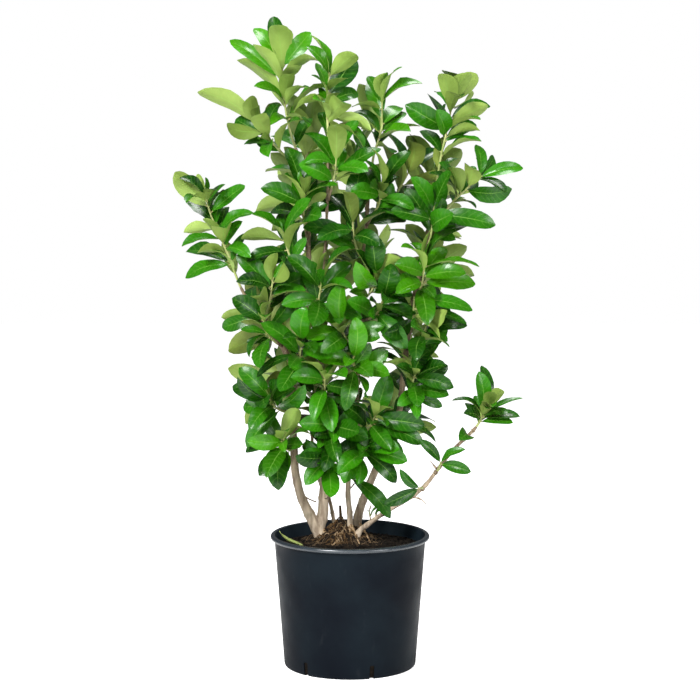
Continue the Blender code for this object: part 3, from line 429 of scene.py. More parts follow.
# The pot: a turned wall with a rolled rim, and drain slots cut round its base.
pot = {"height": 0.250, "rimRadius": 0.150, "bead": 0.0042, "topRadius": 0.1430, "bottomRadius": 0.1240,
       "wall": 0.002, "floor": 0.003, "baseRound": 0.004, "segments": 180, "sharpAngle": 38, "slots": 6,
       "firstSlot": -71.0, "slotWidth": 0.009, "slotHeight": 0.026, "slotDepth": 0.022,
       "slotCorner": 0.0025}


def wallRadius(height):
    return pot["bottomRadius"] + (pot["topRadius"] - pot["bottomRadius"]) * height / pot["height"]


def turnedShape(profile, segments, slots=0):
    # rings of the profile's radii at its heights, from the underside's middle round to the inside's
    angles = circleAngles(segments)
    radius, height = np.asarray(profile).T
    rings = np.stack((radius[:, None] * np.cos(angles), radius[:, None] * np.sin(angles),
                      np.broadcast_to(height[:, None], (len(radius), segments))), axis=-1)
    return tubeShape(rings, angles / math.tau, height[:, None], slots=slots)


def arcPoints(centre, radius, firstAngle, lastAngle, count):
    angles = np.radians(np.linspace(firstAngle, lastAngle, count))
    return np.stack((centre[0] + radius * np.cos(angles), centre[1] + radius * np.sin(angles)), axis=-1)


def shellShape():
    # the profile from the underside's middle up the wall, over the bead and down the inside;
    # the bead and the inside have finishes of their own, paler than the wall's as painted highlight and
    # painted light
    top = pot["height"]
    bead = pot["bead"]
    wall = pot["wall"]
    base = pot["baseRound"]
    neck = top - bead * (1 + math.sin(math.radians(60)))
    heights = np.linspace(base * 1.5, neck - bead * 0.8, 14)
    inner = np.linspace(top - bead, pot["floor"] + 0.003, 12)
    innerTop = wallRadius(top) - wall
    profile = np.vstack((
        ((0.002, 0.0), (wallRadius(0) - base * 1.6, 0.0)),
        arcPoints((wallRadius(0) - base, base), base, -90, 0, 6),
        np.stack((wallRadius(heights), heights), axis=-1),
        arcPoints((pot["rimRadius"] - bead, top - bead), bead, -120, 90, 18),
        ((innerTop + wall * 0.7, top), (innerTop + wall * 0.2, top - wall * 0.3)),
        np.stack((np.minimum(wallRadius(inner) - wall, innerTop), inner), axis=-1),
        ((wallRadius(0) - wall - 0.003, pot["floor"]), (0.002, pot["floor"])),
    ))
    middles = (profile[1:, 1] + profile[:-1, 1]) / 2
    # the bead's faces take the finish with the painted highlight, the inside's faces the one with painted
    # light
    rolled = (middles > neck) & (profile[1:, 0] > innerTop)
    inside = (np.arange(len(middles)) > np.flatnonzero(rolled)[-1]).astype(int)
    return turnedShape(profile, pot["segments"], slots=(rolled + 2 * inside)[:, None])


def slotShapes():
    # one round-topped block for each drain slot, through the wall's foot
    half = pot["slotWidth"] / 2
    corner = pot["slotCorner"]
    outline = np.vstack((((half, -0.01),),
                         arcPoints((half - corner, pot["slotHeight"] - corner), corner, 0, 90, 5),
                         arcPoints((corner - half, pot["slotHeight"] - corner), corner, 90, 180, 5),
                         ((-half, -0.01),)))
    shapes = []
    for index in range(pot["slots"]):
        angle = math.radians(pot["firstSlot"] + index * 360 / pot["slots"])
        out = np.array((math.cos(angle), math.sin(angle), 0.0))
        section = np.cross(up, out) * outline[:, :1] + up * outline[:, 1:]
        reach = pot["bottomRadius"] + np.array((-0.5, 0.5))[:, None, None] * pot["slotDepth"]
        shapes.append(tubeShape(section + out * reach, 0.0, 0.0))
    return shapes


def makePot():
    finishes = [plasticFinish(name) for name in potLook]
    piece = makePiece("pot_shell", [shellShape()], finishes)
    cutter = makePiece("slot_cutter", slotShapes(), [])
    cut = piece.modifiers.new("slots", "BOOLEAN")
    cut.operation = "DIFFERENCE"
    cut.solver = "EXACT"
    cut.object = cutter
    bpy.context.view_layer.update()
    piece.data = bpy.data.meshes.new_from_object(piece.evaluated_get(bpy.context.evaluated_depsgraph_get()))
    piece.modifiers.clear()
    bpy.data.objects.remove(cutter, do_unlink=True)
    piece.data.shade_smooth()
    piece.data.set_sharp_from_angle(angle=math.radians(pot["sharpAngle"]))
    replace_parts(piece, "pot")
    print("pot done")


# The compost: a lumpy disc with a mound where the roots rise, strewn with chips and root fibres.
compost = {"drop": 0.025, "crown": 0.004, "mound": (-0.014, 0.046), "moundSize": (0.066, 0.042, 0.017),
           "clearance": 0.0003, "rings": 70, "segments": 150, "lump": 0.0016, "waves": 14,
           "coarseWave": 0.022, "fineWave": 0.008, "levelEdge": 0.012, "tone": 0.04, "chips": 2600,
           "chipLength": (0.002, 0.009), "chipWidth": (0.25, 0.7), "thickestChip": 0.0022,
           "chipLift": (0.0, 0.0018), "chipMargin": 0.004, "chipAngle": 30, "fibres": 190,
           "fibreRadius": (0.0003, 0.0008), "fibreLift": 0.0004, "fibreLength": (0.012, 0.034),
           "fibreRise": (0.001, 0.007), "seed": 4}
soilTop = pot["height"] - compost["drop"]
soilEdge = wallRadius(soilTop) - pot["wall"] - compost["clearance"]


def soilHeight(x, y):
    # a low cone, and over the roots a half ellipsoid that stands above it
    level = soilTop + compost["crown"] * np.maximum(0, 1 - np.hypot(x, y) / soilEdge)
    wide, deep, high = compost["moundSize"]
    reach = ((x - compost["mound"][0]) / wide)**2 + ((y - compost["mound"][1]) / deep)**2
    return np.maximum(level, soilTop + high * np.sqrt(np.maximum(0, 1 - reach)))


def lumps(x, y, count, waveLength, draw):
    # a sum of waves in random directions, between about -1 and 1
    total = np.zeros_like(x)
    for wave in range(count):
        angle = draw.uniform(0, math.tau)
        length = waveLength * draw.uniform(0.5, 1.6)
        far = x * math.cos(angle) + y * math.sin(angle)
        total += np.sin(far * math.tau / length + draw.uniform(0, math.tau))
    return total / math.sqrt(count)


def bedShape(draw):
    # up the inside of the pot, then the top in rings from the edge to the middle
    floor = pot["floor"] + compost["clearance"]
    inset = pot["wall"] + compost["clearance"]
    angles = circleAngles(compost["segments"])
    sideHeights = np.array((floor, floor, 0.06, 0.12, 0.18))[:, None]
    sideRadii = np.vstack(((0.002,), wallRadius(sideHeights[1:]) - inset))
    side = np.stack((sideRadii * np.cos(angles), sideRadii * np.sin(angles),
                     np.broadcast_to(sideHeights, (5, len(angles)))), axis=-1)
    radii = np.linspace(soilEdge, 0.001, compost["rings"])[:, None]
    x = radii * np.cos(angles)
    y = radii * np.sin(angles)
    fade = np.minimum(1, (soilEdge - radii) / compost["levelEdge"])
    coarse = lumps(x, y, compost["waves"], compost["coarseWave"], draw)
    fine = lumps(x, y, compost["waves"], compost["fineWave"], draw)
    z = soilHeight(x, y) + compost["lump"] * fade * (coarse + 0.5 * fine)
    return tubeShape(np.vstack((side, np.stack((x, y, z), axis=-1))), 0.0, 0.0, compost["tone"])


def chipShape(draw):
    # a four-sided splinter that lies on the soil; the pale ones are few, and most of them near the roots
    far = (soilEdge - compost["chipMargin"]) * math.sqrt(draw.random())
    angle = draw.uniform(0, math.tau)
    spot = np.array((far * math.cos(angle), far * math.sin(angle)))
    length = draw.uniform(*compost["chipLength"]) * draw.uniform(0.5, 1)
    wide = length * draw.uniform(*compost["chipWidth"])
    thick = min(wide, compost["thickestChip"]) * draw.uniform(0.3, 0.9)
    turn = draw.uniform(0, math.tau)
    tilt = draw.gauss(0, 0.35)
    along = np.array((math.cos(turn) * math.cos(tilt), math.sin(turn) * math.cos(tilt), math.sin(tilt)))
    side = unit(np.cross(up, along) + up * draw.gauss(0, 0.3))
    face = np.cross(along, side)
    middle = np.array((*spot, float(soilHeight(*spot)) + draw.uniform(*compost["chipLift"])))
    corners = np.array(((-1, -1), (1, -1), (1, 1), (-1, 1))) / 2
    corners = np.array([draw.uniform(0.65, 1.1) for corner in corners])[:, None] * corners
    section = side * corners[:, :1] * wide + face * corners[:, 1:] * thick
    half = along * length / 2
    rings = middle + np.stack((section - half, section * draw.uniform(0.5, 1) + half))
    wide, deep, _ = compost["moundSize"]
    away = math.hypot((spot[0] - compost["mound"][0]) / wide,
                      (spot[1] - compost["mound"][1] + 0.02) / deep)
    return tubeShape(rings, 0.0, 0.0, draw.random()**6 * min(1.0, max(0.08, 1.7 - 1.1 * away)))


def strandShape(ground, place, turn, length, bend, rise, radius, thinned, tone):
    # a thin root on the ground that bends evenly, rises as given and tapers
    count = len(rise)
    run = np.linspace(0, length, count)
    turns = turn + bend * np.arange(1, count + 1)
    x = place[0] + run * np.cos(turns)
    y = place[1] + run * np.sin(turns)
    route = np.stack((x, y, ground(x, y) + rise), axis=-1)
    return stalk(route, radius * np.linspace(1, thinned, count), 5, tone)


def fibreShape(draw):
    angle = draw.uniform(0, math.tau)
    far = draw.uniform(0.05, 1.0)
    wide, deep, _ = compost["moundSize"]
    place = (compost["mound"][0] + wide * far * math.cos(angle),
             compost["mound"][1] + deep * far * math.sin(angle))
    arch = np.sin(np.linspace(-0.3, math.pi + 0.3, 8))
    turn = angle + draw.gauss(0, 0.8)
    length = draw.uniform(*compost["fibreLength"])
    bend = draw.gauss(0, 0.12)
    rise = draw.uniform(*compost["fibreRise"]) * arch + compost["fibreLift"]
    return strandShape(soilHeight, place, turn, length, bend, rise,
                       draw.uniform(*compost["fibreRadius"]), 0.5, draw.uniform(0.35, 1.0))


def makeCompost():
    draw = random.Random(compost["seed"])
    finish = compostFinish()
    bed = makePiece("compost_bed", [bedShape(draw)], [finish])
    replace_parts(bed, "compost")
    chips = [chipShape(draw) for index in range(compost["chips"])]
    makePiece("bark_chips", chips, [finish], compost["chipAngle"])
    fibres = [fibreShape(draw) for index in range(compost["fibres"])]
    makePiece("root_fibres", fibres, [finish])
    print("compost done:", len(chips), "chips and", len(fibres), "fibres")


# The root crown: a heap of matted short roots between the trunks, with thicker roots that run down
# from their feet (first and last radius and route, in millimetres) and a dark dead stub.
rootCrown = {
    "middle": (-0.017, 0.046), "size": (0.044, 0.040), "height": 0.027, "rings": 22, "segments": 48,
    "lump": 0.0032, "waves": 16, "waveLength": 0.014, "footDepths": (0.008, 0.002), "strands": 360,
    "strandLength": (0.008, 0.026), "strandRise": (0.001, 0.007), "strandLift": 0.0006,
    "strandRadius": (0.0005, 0.0014), "rootStep": 0.003, "rootSwell": 0.12, "rootTones": (0.7, 0.95),
    "stubTone": 0.12, "seed": 21,
    "roots": (
        (3.6, 1.6, ((1, 38, 262), (0, 30, 250), (-4, 17, 236), (-10, 4, 227))),
        (3.0, 1.2, ((3, 38, 260), (8, 28, 247), (15, 14, 234), (19, 4, 227))),
        (3.0, 1.2, ((-3, 38, 257), (-14, 26, 249), (-22, 12, 236), (-34, 0, 227))),
        (3.4, 1.4, ((-52, 44, 250), (-42, 30, 240), (-36, 16, 231), (-34, 4, 227))),
        (3.2, 1.3, ((16, 60, 262), (26, 46, 249), (34, 30, 236), (40, 18, 227))),
        (2.2, 1.0, ((-28, 62, 262), (-22, 44, 262), (-16, 26, 248), (-14, 14, 236))),
    ),
    "stub": (3.4, 2.3, ((-17, 44, 262), (-18, 43, 280), (-19, 42, 296))),
}


def heapHeight(x, y):
    # a cone with hollow flanks on the compost
    reach = np.hypot((x - rootCrown["middle"][0]) / rootCrown["size"][0],
                     (y - rootCrown["middle"][1]) / rootCrown["size"][1])
    return soilHeight(x, y) + rootCrown["height"] * np.maximum(0, 1 - reach)**1.2


def heapShape(draw):
    middle = rootCrown["middle"]
    size = rootCrown["size"]
    angles = circleAngles(rootCrown["segments"])
    reach = np.concatenate(((1.0,), np.linspace(1.0, 0.03, rootCrown["rings"])))[:, None]
    x = middle[0] + size[0] * reach * np.cos(angles)
    y = middle[1] + size[1] * reach * np.sin(angles)
    fade = np.minimum(1, 4 * (1 - reach))
    rough = lumps(x, y, rootCrown["waves"], rootCrown["waveLength"], draw)
    z = heapHeight(x, y) + rootCrown["lump"] * fade * rough
    # its foot goes into the compost
    z[:2] -= np.array(rootCrown["footDepths"])[:, None]
    return tubeShape(np.stack((x, y, z), axis=-1), 0.0, 0.0, 0.0)


def mattedStrand(draw):
    angle = draw.uniform(0, math.tau)
    out = math.sqrt(draw.random()) * 0.95 * np.array((math.cos(angle), math.sin(angle)))
    place = np.array(rootCrown["middle"]) + np.array(rootCrown["size"]) * out
    turn = angle + draw.gauss(0, 0.9) + (math.pi if draw.random() < 0.3 else 0.0)
    length = draw.uniform(*rootCrown["strandLength"])
    bend = draw.gauss(0, 0.16)
    rise = draw.uniform(*rootCrown["strandRise"])
    rise = rise * np.sin(np.linspace(-0.2, math.pi + draw.uniform(-1.2, 0.5), 7)) + rootCrown["strandLift"]
    return strandShape(heapHeight, place, turn, length, bend, rise,
                       draw.uniform(*rootCrown["strandRadius"]), 0.45, draw.random()**2.3)


def makeRootCrown():
    draw = random.Random(rootCrown["seed"])
    shapes = [heapShape(draw)]
    shapes += [mattedStrand(draw) for index in range(rootCrown["strands"])]
    for first, last, points in rootCrown["roots"]:
        route = eased(metres(points), rootCrown["rootStep"])
        radii = np.linspace(first, last, len(route)) * mm
        swell = np.sin(np.linspace(0, 9, len(route)) + draw.uniform(0, 6))
        radii = radii * (1 + rootCrown["rootSwell"] * swell)
        shapes.append(stalk(route, radii, 9, draw.uniform(*rootCrown["rootTones"])))
    first, last, points = rootCrown["stub"]
    route = eased(metres(points), rootCrown["rootStep"])
    shapes.append(stalk(route, np.linspace(first, last, len(route)) * mm, 9, rootCrown["stubTone"]))
    makePiece("root_crown", shapes, [rootFinish()])
    print("root crown done")


# The woody stems: trunk name to base radius, top radius and route, all in millimetres
woodyStems = {
    "stem_left": (
        (9.0, 4.2, ((-57, 45, 200), (-57, 45, 240), (-79, 45, 281), (-94, 42, 315), (-104, 36, 362),
                    (-106, 30, 410), (-110, 22, 500), (-101, 16, 555), (-126, 10, 605), (-158, 4, 640),
                    (-190, 0, 690))),
        (6.5, 3.4, ((-61, 45, 246), (-51, 50, 280), (-50, 46, 343), (-52, 40, 420), (-50, 34, 500),
                    (-56, 28, 580), (-66, 24, 650), (-76, 20, 731), (-78, 20, 820), (-68, 24, 895),
                    (-92, 28, 945))),
    ),
    "stem_thin": (
        (3.4, 2.8, ((-28, 64, 205), (-28, 64, 245), (-38, 72, 300), (-60, 72, 340), (-72, 64, 400),
                    (-72, 58, 460))),
    ),
    "stem_centre": (
        (5.0, 3.2, ((0, 40, 200), (0, 40, 242), (0, 38, 277), (-4, 35, 315), (-2, 30, 381),
                    (15, 20, 447), (13, 20, 527), (16, 22, 600), (20, 26, 690), (27, 30, 780),
                    (34, 34, 882))),
    ),
    "stem_right": (
        (7.5, 3.6, ((12, 64, 200), (12, 64, 242), (16, 58, 277), (28, 50, 315), (47, 42, 362),
                    (72, 32, 424), (95, 22, 485), (99, 16, 542), (105, 15, 598), (113, 15, 640),
                    (118, 15, 690), (134, 15, 760), (146, 15, 820), (156, 15, 873))),
    ),
    "stem_low_branch": (
        (4.6, 3.2, ((14, 28, 205), (14, 28, 248), (54, 12, 281), (85, 4, 302), (117, -5, 322),
                    (142, -15, 345), (166, -24, 380), (189, -30, 412), (208, -35, 432),
                    (228, -40, 452))),
    ),
}

# lobes: how many round the stem, how high, and how they turn along it
wood = {"twigRadius": 0.0030, "shootRadius": 0.0024, "tipRadius": 0.0014, "jointRun": 0.006,
        "clearance": 0.0003, "step": 0.006, "shootStep": 0.004, "knotEvery": 0.036, "knotHeight": 0.0010,
        "knotLength": 0.003, "knotShift": 0.004, "collar": 0.6, "collarLength": 0.006, "twist": 14,
        "lobes": ((2, 0.05, 1), (3, 0.035, -2), (5, 0.02, 5)), "spurTaper": 0.6, "spurCollar": 0.5,
        "trunkSides": 18, "twigSides": 9, "spurSides": 7, "trunkTones": (0.0, 0.8), "twigTones": (0.7, 1.0),
        "spurTones": (0.2, 0.5), "seed": 100, "spurSeed": 77}
# how much thicker each trunk is at its foot, and over what length
flares = {"stem_left": ((0.42, 0.10), (0.60, 0.080)), "stem_thin": ((0.15, 0.06),),
          "stem_centre": ((0.35, 0.07),), "stem_right": ((0.20, 0.10),), "stem_low_branch": ((0.25, 0.06),)}
# dead twigs and spurs on the trunks: first radius and route, in millimetres
spurs = (
    (1.6, ((-92, 42, 318), (-78, 41, 308), (-64, 43, 303))),
    (1.4, ((40, 16, 272), (34, 14, 288), (40, 12, 303))),
    (1.5, ((47, 14, 276), (50, 12, 288), (53, 11, 295))),
    (1.5, ((112, -4, 320), (126, -8, 322), (137, -9, 317), (143, -9, 309))),
    (1.3, ((163, -24, 377), (155, -27, 386), (150, -28, 394))),
    (1.6, ((-4, 33, 326), (6, 29, 336), (8, 27, 341))),
    (1.5, ((-3, 33, 340), (-12, 30, 350), (-13, 28, 356))),
    (1.2, ((-50, 46, 338), (-42, 42, 350), (-36, 38, 366))),
    (1.4, ((30, 48, 322), (22, 42, 336), (20, 40, 346))),
    (4.2, ((-48, 44, 312), (-41, 36, 317), (-38, 31, 321))),
)

# Each leafy shoot: its woody stem, its tone, the brown share of its route, the route, its own leaves
# (place, reach right, back and up, width, facing), how many more leaves spiral round it, and their length
leafyShoots = (
    ("shoot_top_left", "stem_left", "leaf_bright", 0.15,
     ((-92, 28, 945), (-101, 30, 972), (-110, 29, 1000), (-118, 27, 1035), (-124, 25, 1080),
      (-126, 25, 1140)),
     ((1.00, -4, -30, 68, 47, 0), (0.97, -17, 28, 88, 34, 0.6), (0.93, 50, -14, 64, 34, 0.8),
      (0.85, -50, 24, 88, 34, 0.8), (0.75, -98, 6, 76, 28, 0.85), (0.68, -76, -34, 74, 31, -0.5),
      (0.82, 68, -36, 36, 34, -0.6), (0.66, 30, -62, 40, 34, 0), (0.45, 10, -56, 56, 31, 0),
      (0.38, 40, -48, 46, 31, -0.2), (0.42, -52, -52, 36, 31, 0.4), (0.20, -42, -58, -4, 29, 0.5),
      (0.25, 44, -50, -10, 31, -0.5)),
     3, 101),
    ("shoot_upper_left", "stem_left", "leaf_green", 0.20,
     ((-92, 28, 945), (-108, 22, 952), (-130, 16, 968), (-150, 12, 992), (-166, 10, 1018)),
     ((1.00, -114, -20, 68, 40, -0.6), (0.96, -23, -32, 58, 34, -0.3), (0.80, -74, -40, 8, 34, -0.5),
      (0.60, -24, -50, 50, 34, -0.3), (0.45, -8, -66, -20, 34, 0.5), (0.70, -60, 34, 30, 34, 0.3)),
     3, 101),
    ("shoot_top_mid", "stem_left", "leaf_bright", 0.72,
     ((-66, 24, 650), (-55, 12, 720), (-45, 4, 800), (-41, 0, 900), (-40, 0, 990), (-43, 0, 1050),
      (-38, 0, 1114)),
     ((1.00, -36, -20, 54, 30, 0.5), (0.96, 50, -30, 46, 38, -0.5), (0.66, -20, 34, 58, 28, 0.2),
      (0.72, 36, -52, 26, 34, -0.3), (0.55, -62, -56, -20, 34, -0.5), (0.50, 58, 36, 20, 31, 0.4),
      (0.08, 70, -54, -26, 38, 0.5), (0.25, 78, -30, -18, 31, -0.5), (0.20, -54, -30, 44, 34, -0.4)),
     4, 99),
    ("shoot_top_centre", "stem_centre", "leaf_bright", 0.30,
     ((34, 34, 882), (38, 35, 920), (44, 35, 960), (60, 35, 1012), (59, 35, 1068)),
     ((1.00, 6, -28, 50, 38, 0.4), (0.97, 70, -16, 40, 34, 0.5), (0.94, -26, 16, 50, 27, 0.3),
      (0.82, -56, -40, 10, 31, -0.5), (0.55, 34, 42, 40, 31, 0.4), (0.30, 55, -50, 22, 40, 0.5),
      (0.18, 56, -44, -14, 34, -0.5), (0.40, -50, 30, 40, 34, 0.3)),
     4, 99),
    ("shoot_inner_right", "stem_centre", "leaf_dark", 0.40,
     ((31, 32, 840), (52, 46, 852), (85, 62, 882), (116, 68, 938)),
     ((1.00, 8, -14, 64, 38, 0.3), (0.90, 60, 20, 40, 34, 0.4)),
     6, 101),
    ("shoot_top_right", "stem_right", "leaf_green", 0.18,
     ((156, 15, 873), (160, 15, 900), (167, 12, 950), (184, 10, 1030), (192, 8, 1070)),
     ((1.00, -12, -32, 58, 44, -0.1), (0.96, 24, -32, 56, 40, -0.6), (0.93, 46, 6, 56, 28, 0.3),
      (0.78, 18, -64, 44, 34, 0), (0.85, -24, 36, 40, 29, 0.2), (0.72, 76, 12, 30, 31, 0.5),
      (0.62, 72, -32, 40, 34, -0.6), (0.55, 58, -58, 26, 31, -0.3), (0.45, 62, -46, 16, 31, -0.5),
      (0.38, 62, 24, 38, 31, 0.5), (0.58, -76, -26, 44, 45, 0.7), (0.50, -16, -56, 44, 38, 0.8),
      (0.22, -36, 38, 46, 31, 0.4)),
     3, 99),
    ("shoot_right_high", "stem_right", "leaf_green", 0.35,
     ((146, 15, 820), (164, 12, 844), (198, 8, 882), (244, 5, 924)),
     ((1.00, -4, 18, 60, 29, 0.4), (0.96, 80, -6, 22, 29, 0.5), (0.92, 50, -42, -22, 29, 0.5),
      (0.60, 6, -54, 48, 40, -0.8), (0.35, -16, -38, 56, 36, -0.7), (0.28, -46, 34, 46, 31, 0.3),
      (0.88, 36, 44, 42, 28, 0.3)),
     3, 95),
    ("shoot_right_upper", "stem_right", "leaf_green", 0.25,
     ((134, 15, 760), (142, 2, 784), (150, -18, 815), (154, -30, 868)),
     ((0.85, 114, -20, -16, 38, 0.5), (0.55, 82, -34, 6, 32, 0.5), (0.70, -76, -22, 20, 34, 0.6),
      (1.00, 30, -20, 70, 36, 0.4)),
     5, 92),
    ("shoot_right_mid", "stem_right", "leaf_bright", 0.25,
     ((118, 15, 694), (124, -4, 702), (133, -29, 723), (139, -40, 773)),
     ((0.50, 74, -34, 14, 36, 0.6), (0.78, 100, -22, 6, 28, 0.3), (0.30, 100, 14, 0, 36, 0.4),
      (0.60, -68, -20, 30, 40, 0.6), (0.35, -50, -52, -16, 34, 0.5)),
     4, 92),
    ("shoot_right_lower", "stem_right", "leaf_green", 0.25,
     ((113, 15, 636), (115, -6, 648), (117, -34, 668), (118, -50, 704)),
     ((0.90, 108, -10, -14, 30, 0.4), (0.60, 98, -12, -24, 22, 0.3), (0.40, 50, -44, -40, 34, -0.5),
      (0.50, -60, -34, 20, 36, 0.4)),
     4, 90),
    ("shoot_right_inner", "stem_right", "leaf_green", 0.25,
     ((105, 15, 598), (116, 0, 606), (132, -22, 622), (144, -36, 655)),
     ((0.76, 40, -32, -18, 22, 0.4), (0.50, -14, -62, -34, 34, 0.5)),
     4, 88),
    ("shoot_right_side", "stem_right", "leaf_green", 0.30,
     ((95, 22, 489), (104, 4, 500), (114, -24, 522), (120, -40, 562)),
     ((1.00, 22, -20, 46, 33, 0.6), (0.85, 70, -24, -12, 30, 0.5), (0.60, 8, -54, -32, 32, 0.6),
      (0.45, 66, -22, -4, 32, 0.5), (0.25, 58, -8, -24, 22, 0.3)),
     3, 88),
    ("shoot_far_left", "stem_left", "leaf_green", 0.14,
     ((-190, 0, 690), (-206, -1, 722), (-223, -5, 769), (-242, -8, 816), (-259, -10, 854),
      (-268, -12, 890)),
     ((1.00, -42, -14, 42, 31, 0.4), (0.96, -34, -60, 8, 31, -0.4), (0.94, 16, -50, 34, 29, -0.3),
      (0.80, 64, 12, 52, 34, 0.5), (0.66, -50, 24, 42, 31, 0.4), (0.45, -72, -22, -10, 31, 0.5),
      (0.60, -62, 28, -8, 31, -0.5), (0.10, -86, -18, -16, 36, 0.5), (0.26, -52, -50, 6, 31, -0.4),
      (0.50, 10, 44, 52, 31, 0.3), (0.54, 58, -22, 44, 31, 0.5), (0.32, 46, -56, -6, 31, 0.4)),
     4, 97),
    ("shoot_left_high", "stem_left", "leaf_green", 0.25,
     ((-158, 4, 640), (-156, -14, 660), (-148, -32, 692), (-142, -40, 736)),
     ((0.78, -58, -38, 20, 34, 0.4), (0.45, 66, -32, 18, 34, 0.4)),
     5, 88),
    ("shoot_centre_left", "stem_left", "leaf_green", 0.25,
     ((-78, 20, 800), (-82, 2, 818), (-86, -22, 850), (-84, -32, 904)),
     ((0.60, -72, -26, 36, 42, 0.6), (0.30, -64, 24, 12, 34, 0.5), (0.80, 60, -36, 24, 38, 0.4)),
     6, 92),
    ("shoot_left_inner", "stem_left", "leaf_green", 0.30,
     ((-76, 20, 740), (-92, 4, 752), (-112, -18, 776), (-124, -28, 818)),
     ((0.80, -80, -30, 8, 34, -0.6), (0.50, -74, -20, -10, 30, 0.3)),
     6, 90),
    ("shoot_left_centre", "stem_left", "leaf_green", 0.25,
     ((-66, 24, 660), (-64, 4, 672), (-58, -26, 694), (-52, -40, 734)),
     ((0.70, 56, -46, 16, 34, 0.4), (0.40, -66, -36, -4, 34, 0.5)),
     6, 90),
    ("shoot_left_fan", "stem_left", "leaf_green", 0.25,
     ((-126, 10, 605), (-138, -8, 614), (-154, -30, 634), (-162, -42, 668)),
     ((0.60, -42, -20, 22, 20, 0.2), (0.35, -38, -26, -34, 24, -0.4), (0.80, -54, 14, 34, 30, 0.4)),
     3, 86),
    ("shoot_left_front", "stem_left", "leaf_green", 0.25,
     ((-101, 16, 555), (-98, -6, 568), (-92, -38, 590), (-90, -56, 626)),
     ((1.00, 4, -30, 60, 46, 0.7), (0.50, -82, -22, -32, 22, 0.3), (0.70, 58, -42, -8, 34, 0.5)),
     5, 90),
    ("shoot_centre_front", "stem_centre", "leaf_bright", 0.25,
     ((16, 22, 600), (4, 2, 610), (-10, -30, 626), (-18, -50, 656)),
     ((0.95, -6, -14, 78, 44, 0.8), (0.60, -68, -30, -6, 38, 0.6), (0.45, 44, -58, -20, 34, 0.4)),
     5, 90),
    ("shoot_centre_high", "stem_centre", "leaf_dark", 0.25,
     ((25, 29, 760), (18, 10, 774), (8, -16, 804), (4, -28, 854)),
     ((0.60, -64, -40, -10, 36, 0.6), (0.45, 42, -52, -6, 34, 0.5)),
     6, 92),
    ("shoot_centre_bright", "stem_centre", "leaf_bright", 0.25,
     ((20, 26, 690), (30, 6, 698), (42, -22, 714), (50, -36, 748)),
     ((0.97, -6, -18, 74, 44, 0.7), (0.75, 50, -30, 46, 42, -0.5), (0.45, 42, -58, -20, 34, 0.5)),
     5, 90),
    ("shoot_centre_right", "stem_centre", "leaf_green", 0.30,
     ((18, 25, 650), (33, 5, 655), (52, -24, 672), (64, -42, 706)),
     ((0.96, 14, -26, 60, 42, 0.7), (0.60, 56, -52, -14, 34, 0.4), (0.45, 66, -20, 0, 34, 0.4)),
     5, 88),
    ("shoot_centre_low", "stem_centre", "leaf_bright", 0.25,
     ((13, 20, 540), (12, 0, 546), (8, -34, 562), (6, -58, 592)),
     ((1.00, 6, -22, 76, 38, 0.8), (0.70, -64, -28, 18, 36, 0.5), (0.50, -16, -52, -64, 32, 0.6),
      (0.60, 62, -36, -4, 34, 0.4)),
     4, 88),
    ("shoot_left_lower", "stem_left", "leaf_green", 0.25,
     ((-109, 23, 480), (-122, 4, 482), (-140, -22, 494), (-150, -40, 518)),
     ((0.90, -54, -14, 60, 36, 0.6), (0.60, 12, -52, 48, 44, 0.5), (0.60, -40, -62, -30, 32, 0.4),
      (0.40, -64, 20, 0, 31, 0.3)),
     4, 88),
    ("shoot_left_lowest", "stem_left", "leaf_bright", 0.25,
     ((-106, 30, 410), (-112, 10, 409), (-121, -18, 416), (-127, -42, 437)),
     ((0.85, -62, -30, 6, 34, 0.5), (0.55, -76, 20, -10, 31, 0.5), (0.45, -14, -50, -66, 42, 0.7),
      (0.26, -50, -34, -44, 34, 0.6)),
     3, 86),
    ("shoot_low_inner", "stem_thin", "leaf_green", 0.20,
     ((-72, 58, 460), (-71, 54, 482), (-68, 50, 508), (-64, 48, 538)),
     ((0.90, -30, 40, 56, 31, 0.3),),
     6, 97),
    ("shoot_low_front", "stem_left", "leaf_green", 0.30,
     ((-50, 44, 370), (-46, 24, 374), (-40, 0, 384), (-38, -24, 406)),
     ((0.60, -44, -42, -40, 34, 0.5), (0.80, 36, -58, -10, 34, 0.4), (0.85, -54, -36, 8, 32, 0.4)),
     3, 86),
    ("shoot_low_mid", "stem_left", "leaf_green", 0.25,
     ((-52, 40, 420), (-46, 18, 426), (-35, -11, 441), (-29, -38, 467)),
     ((0.90, -62, -38, 10, 34, 0.5), (0.70, 64, -42, -10, 34, 0.5), (0.50, 12, -62, -46, 34, 0.5)),
     4, 88),
    ("shoot_low_high", "stem_left", "leaf_green", 0.25,
     ((-50, 34, 500), (-50, 12, 508), (-48, -22, 524), (-46, -44, 556)),
     ((0.85, -60, -36, 12, 34, 0.6), (0.65, 60, -42, -6, 34, 0.5), (0.50, -20, -60, -46, 34, 0.5)),
     4, 88),
    ("shoot_upper_mid", "stem_left", "leaf_green", 0.30,
     ((-41, 1, 880), (-36, -16, 896), (-28, -34, 926), (-24, -40, 968)),
     ((0.60, -54, -38, 12, 34, 0.5), (0.50, 60, -36, -2, 34, 0.5)),
     5, 88),
    ("shoot_upper_right", "stem_centre", "leaf_green", 0.25,
     ((31, 31, 832), (40, 10, 846), (54, -14, 872), (60, -24, 916)),
     ((0.60, -54, -38, 12, 34, 0.5), (0.50, 60, -38, -8, 34, 0.5)),
     5, 88),
    ("shoot_right_low", "stem_centre", "leaf_green", 0.25,
     ((15, 20, 447), (24, 2, 450), (38, -26, 460), (48, -46, 484)),
     ((0.80, 92, -20, -8, 40, 0.6), (0.55, 94, -34, -26, 38, 0.5), (0.45, 36, -60, -36, 34, 0.5)),
     4, 88),
    ("shoot_low_right", "stem_centre", "leaf_green", 0.30,
     ((2, 28, 395), (10, 8, 396), (22, -20, 404), (32, -44, 424)),
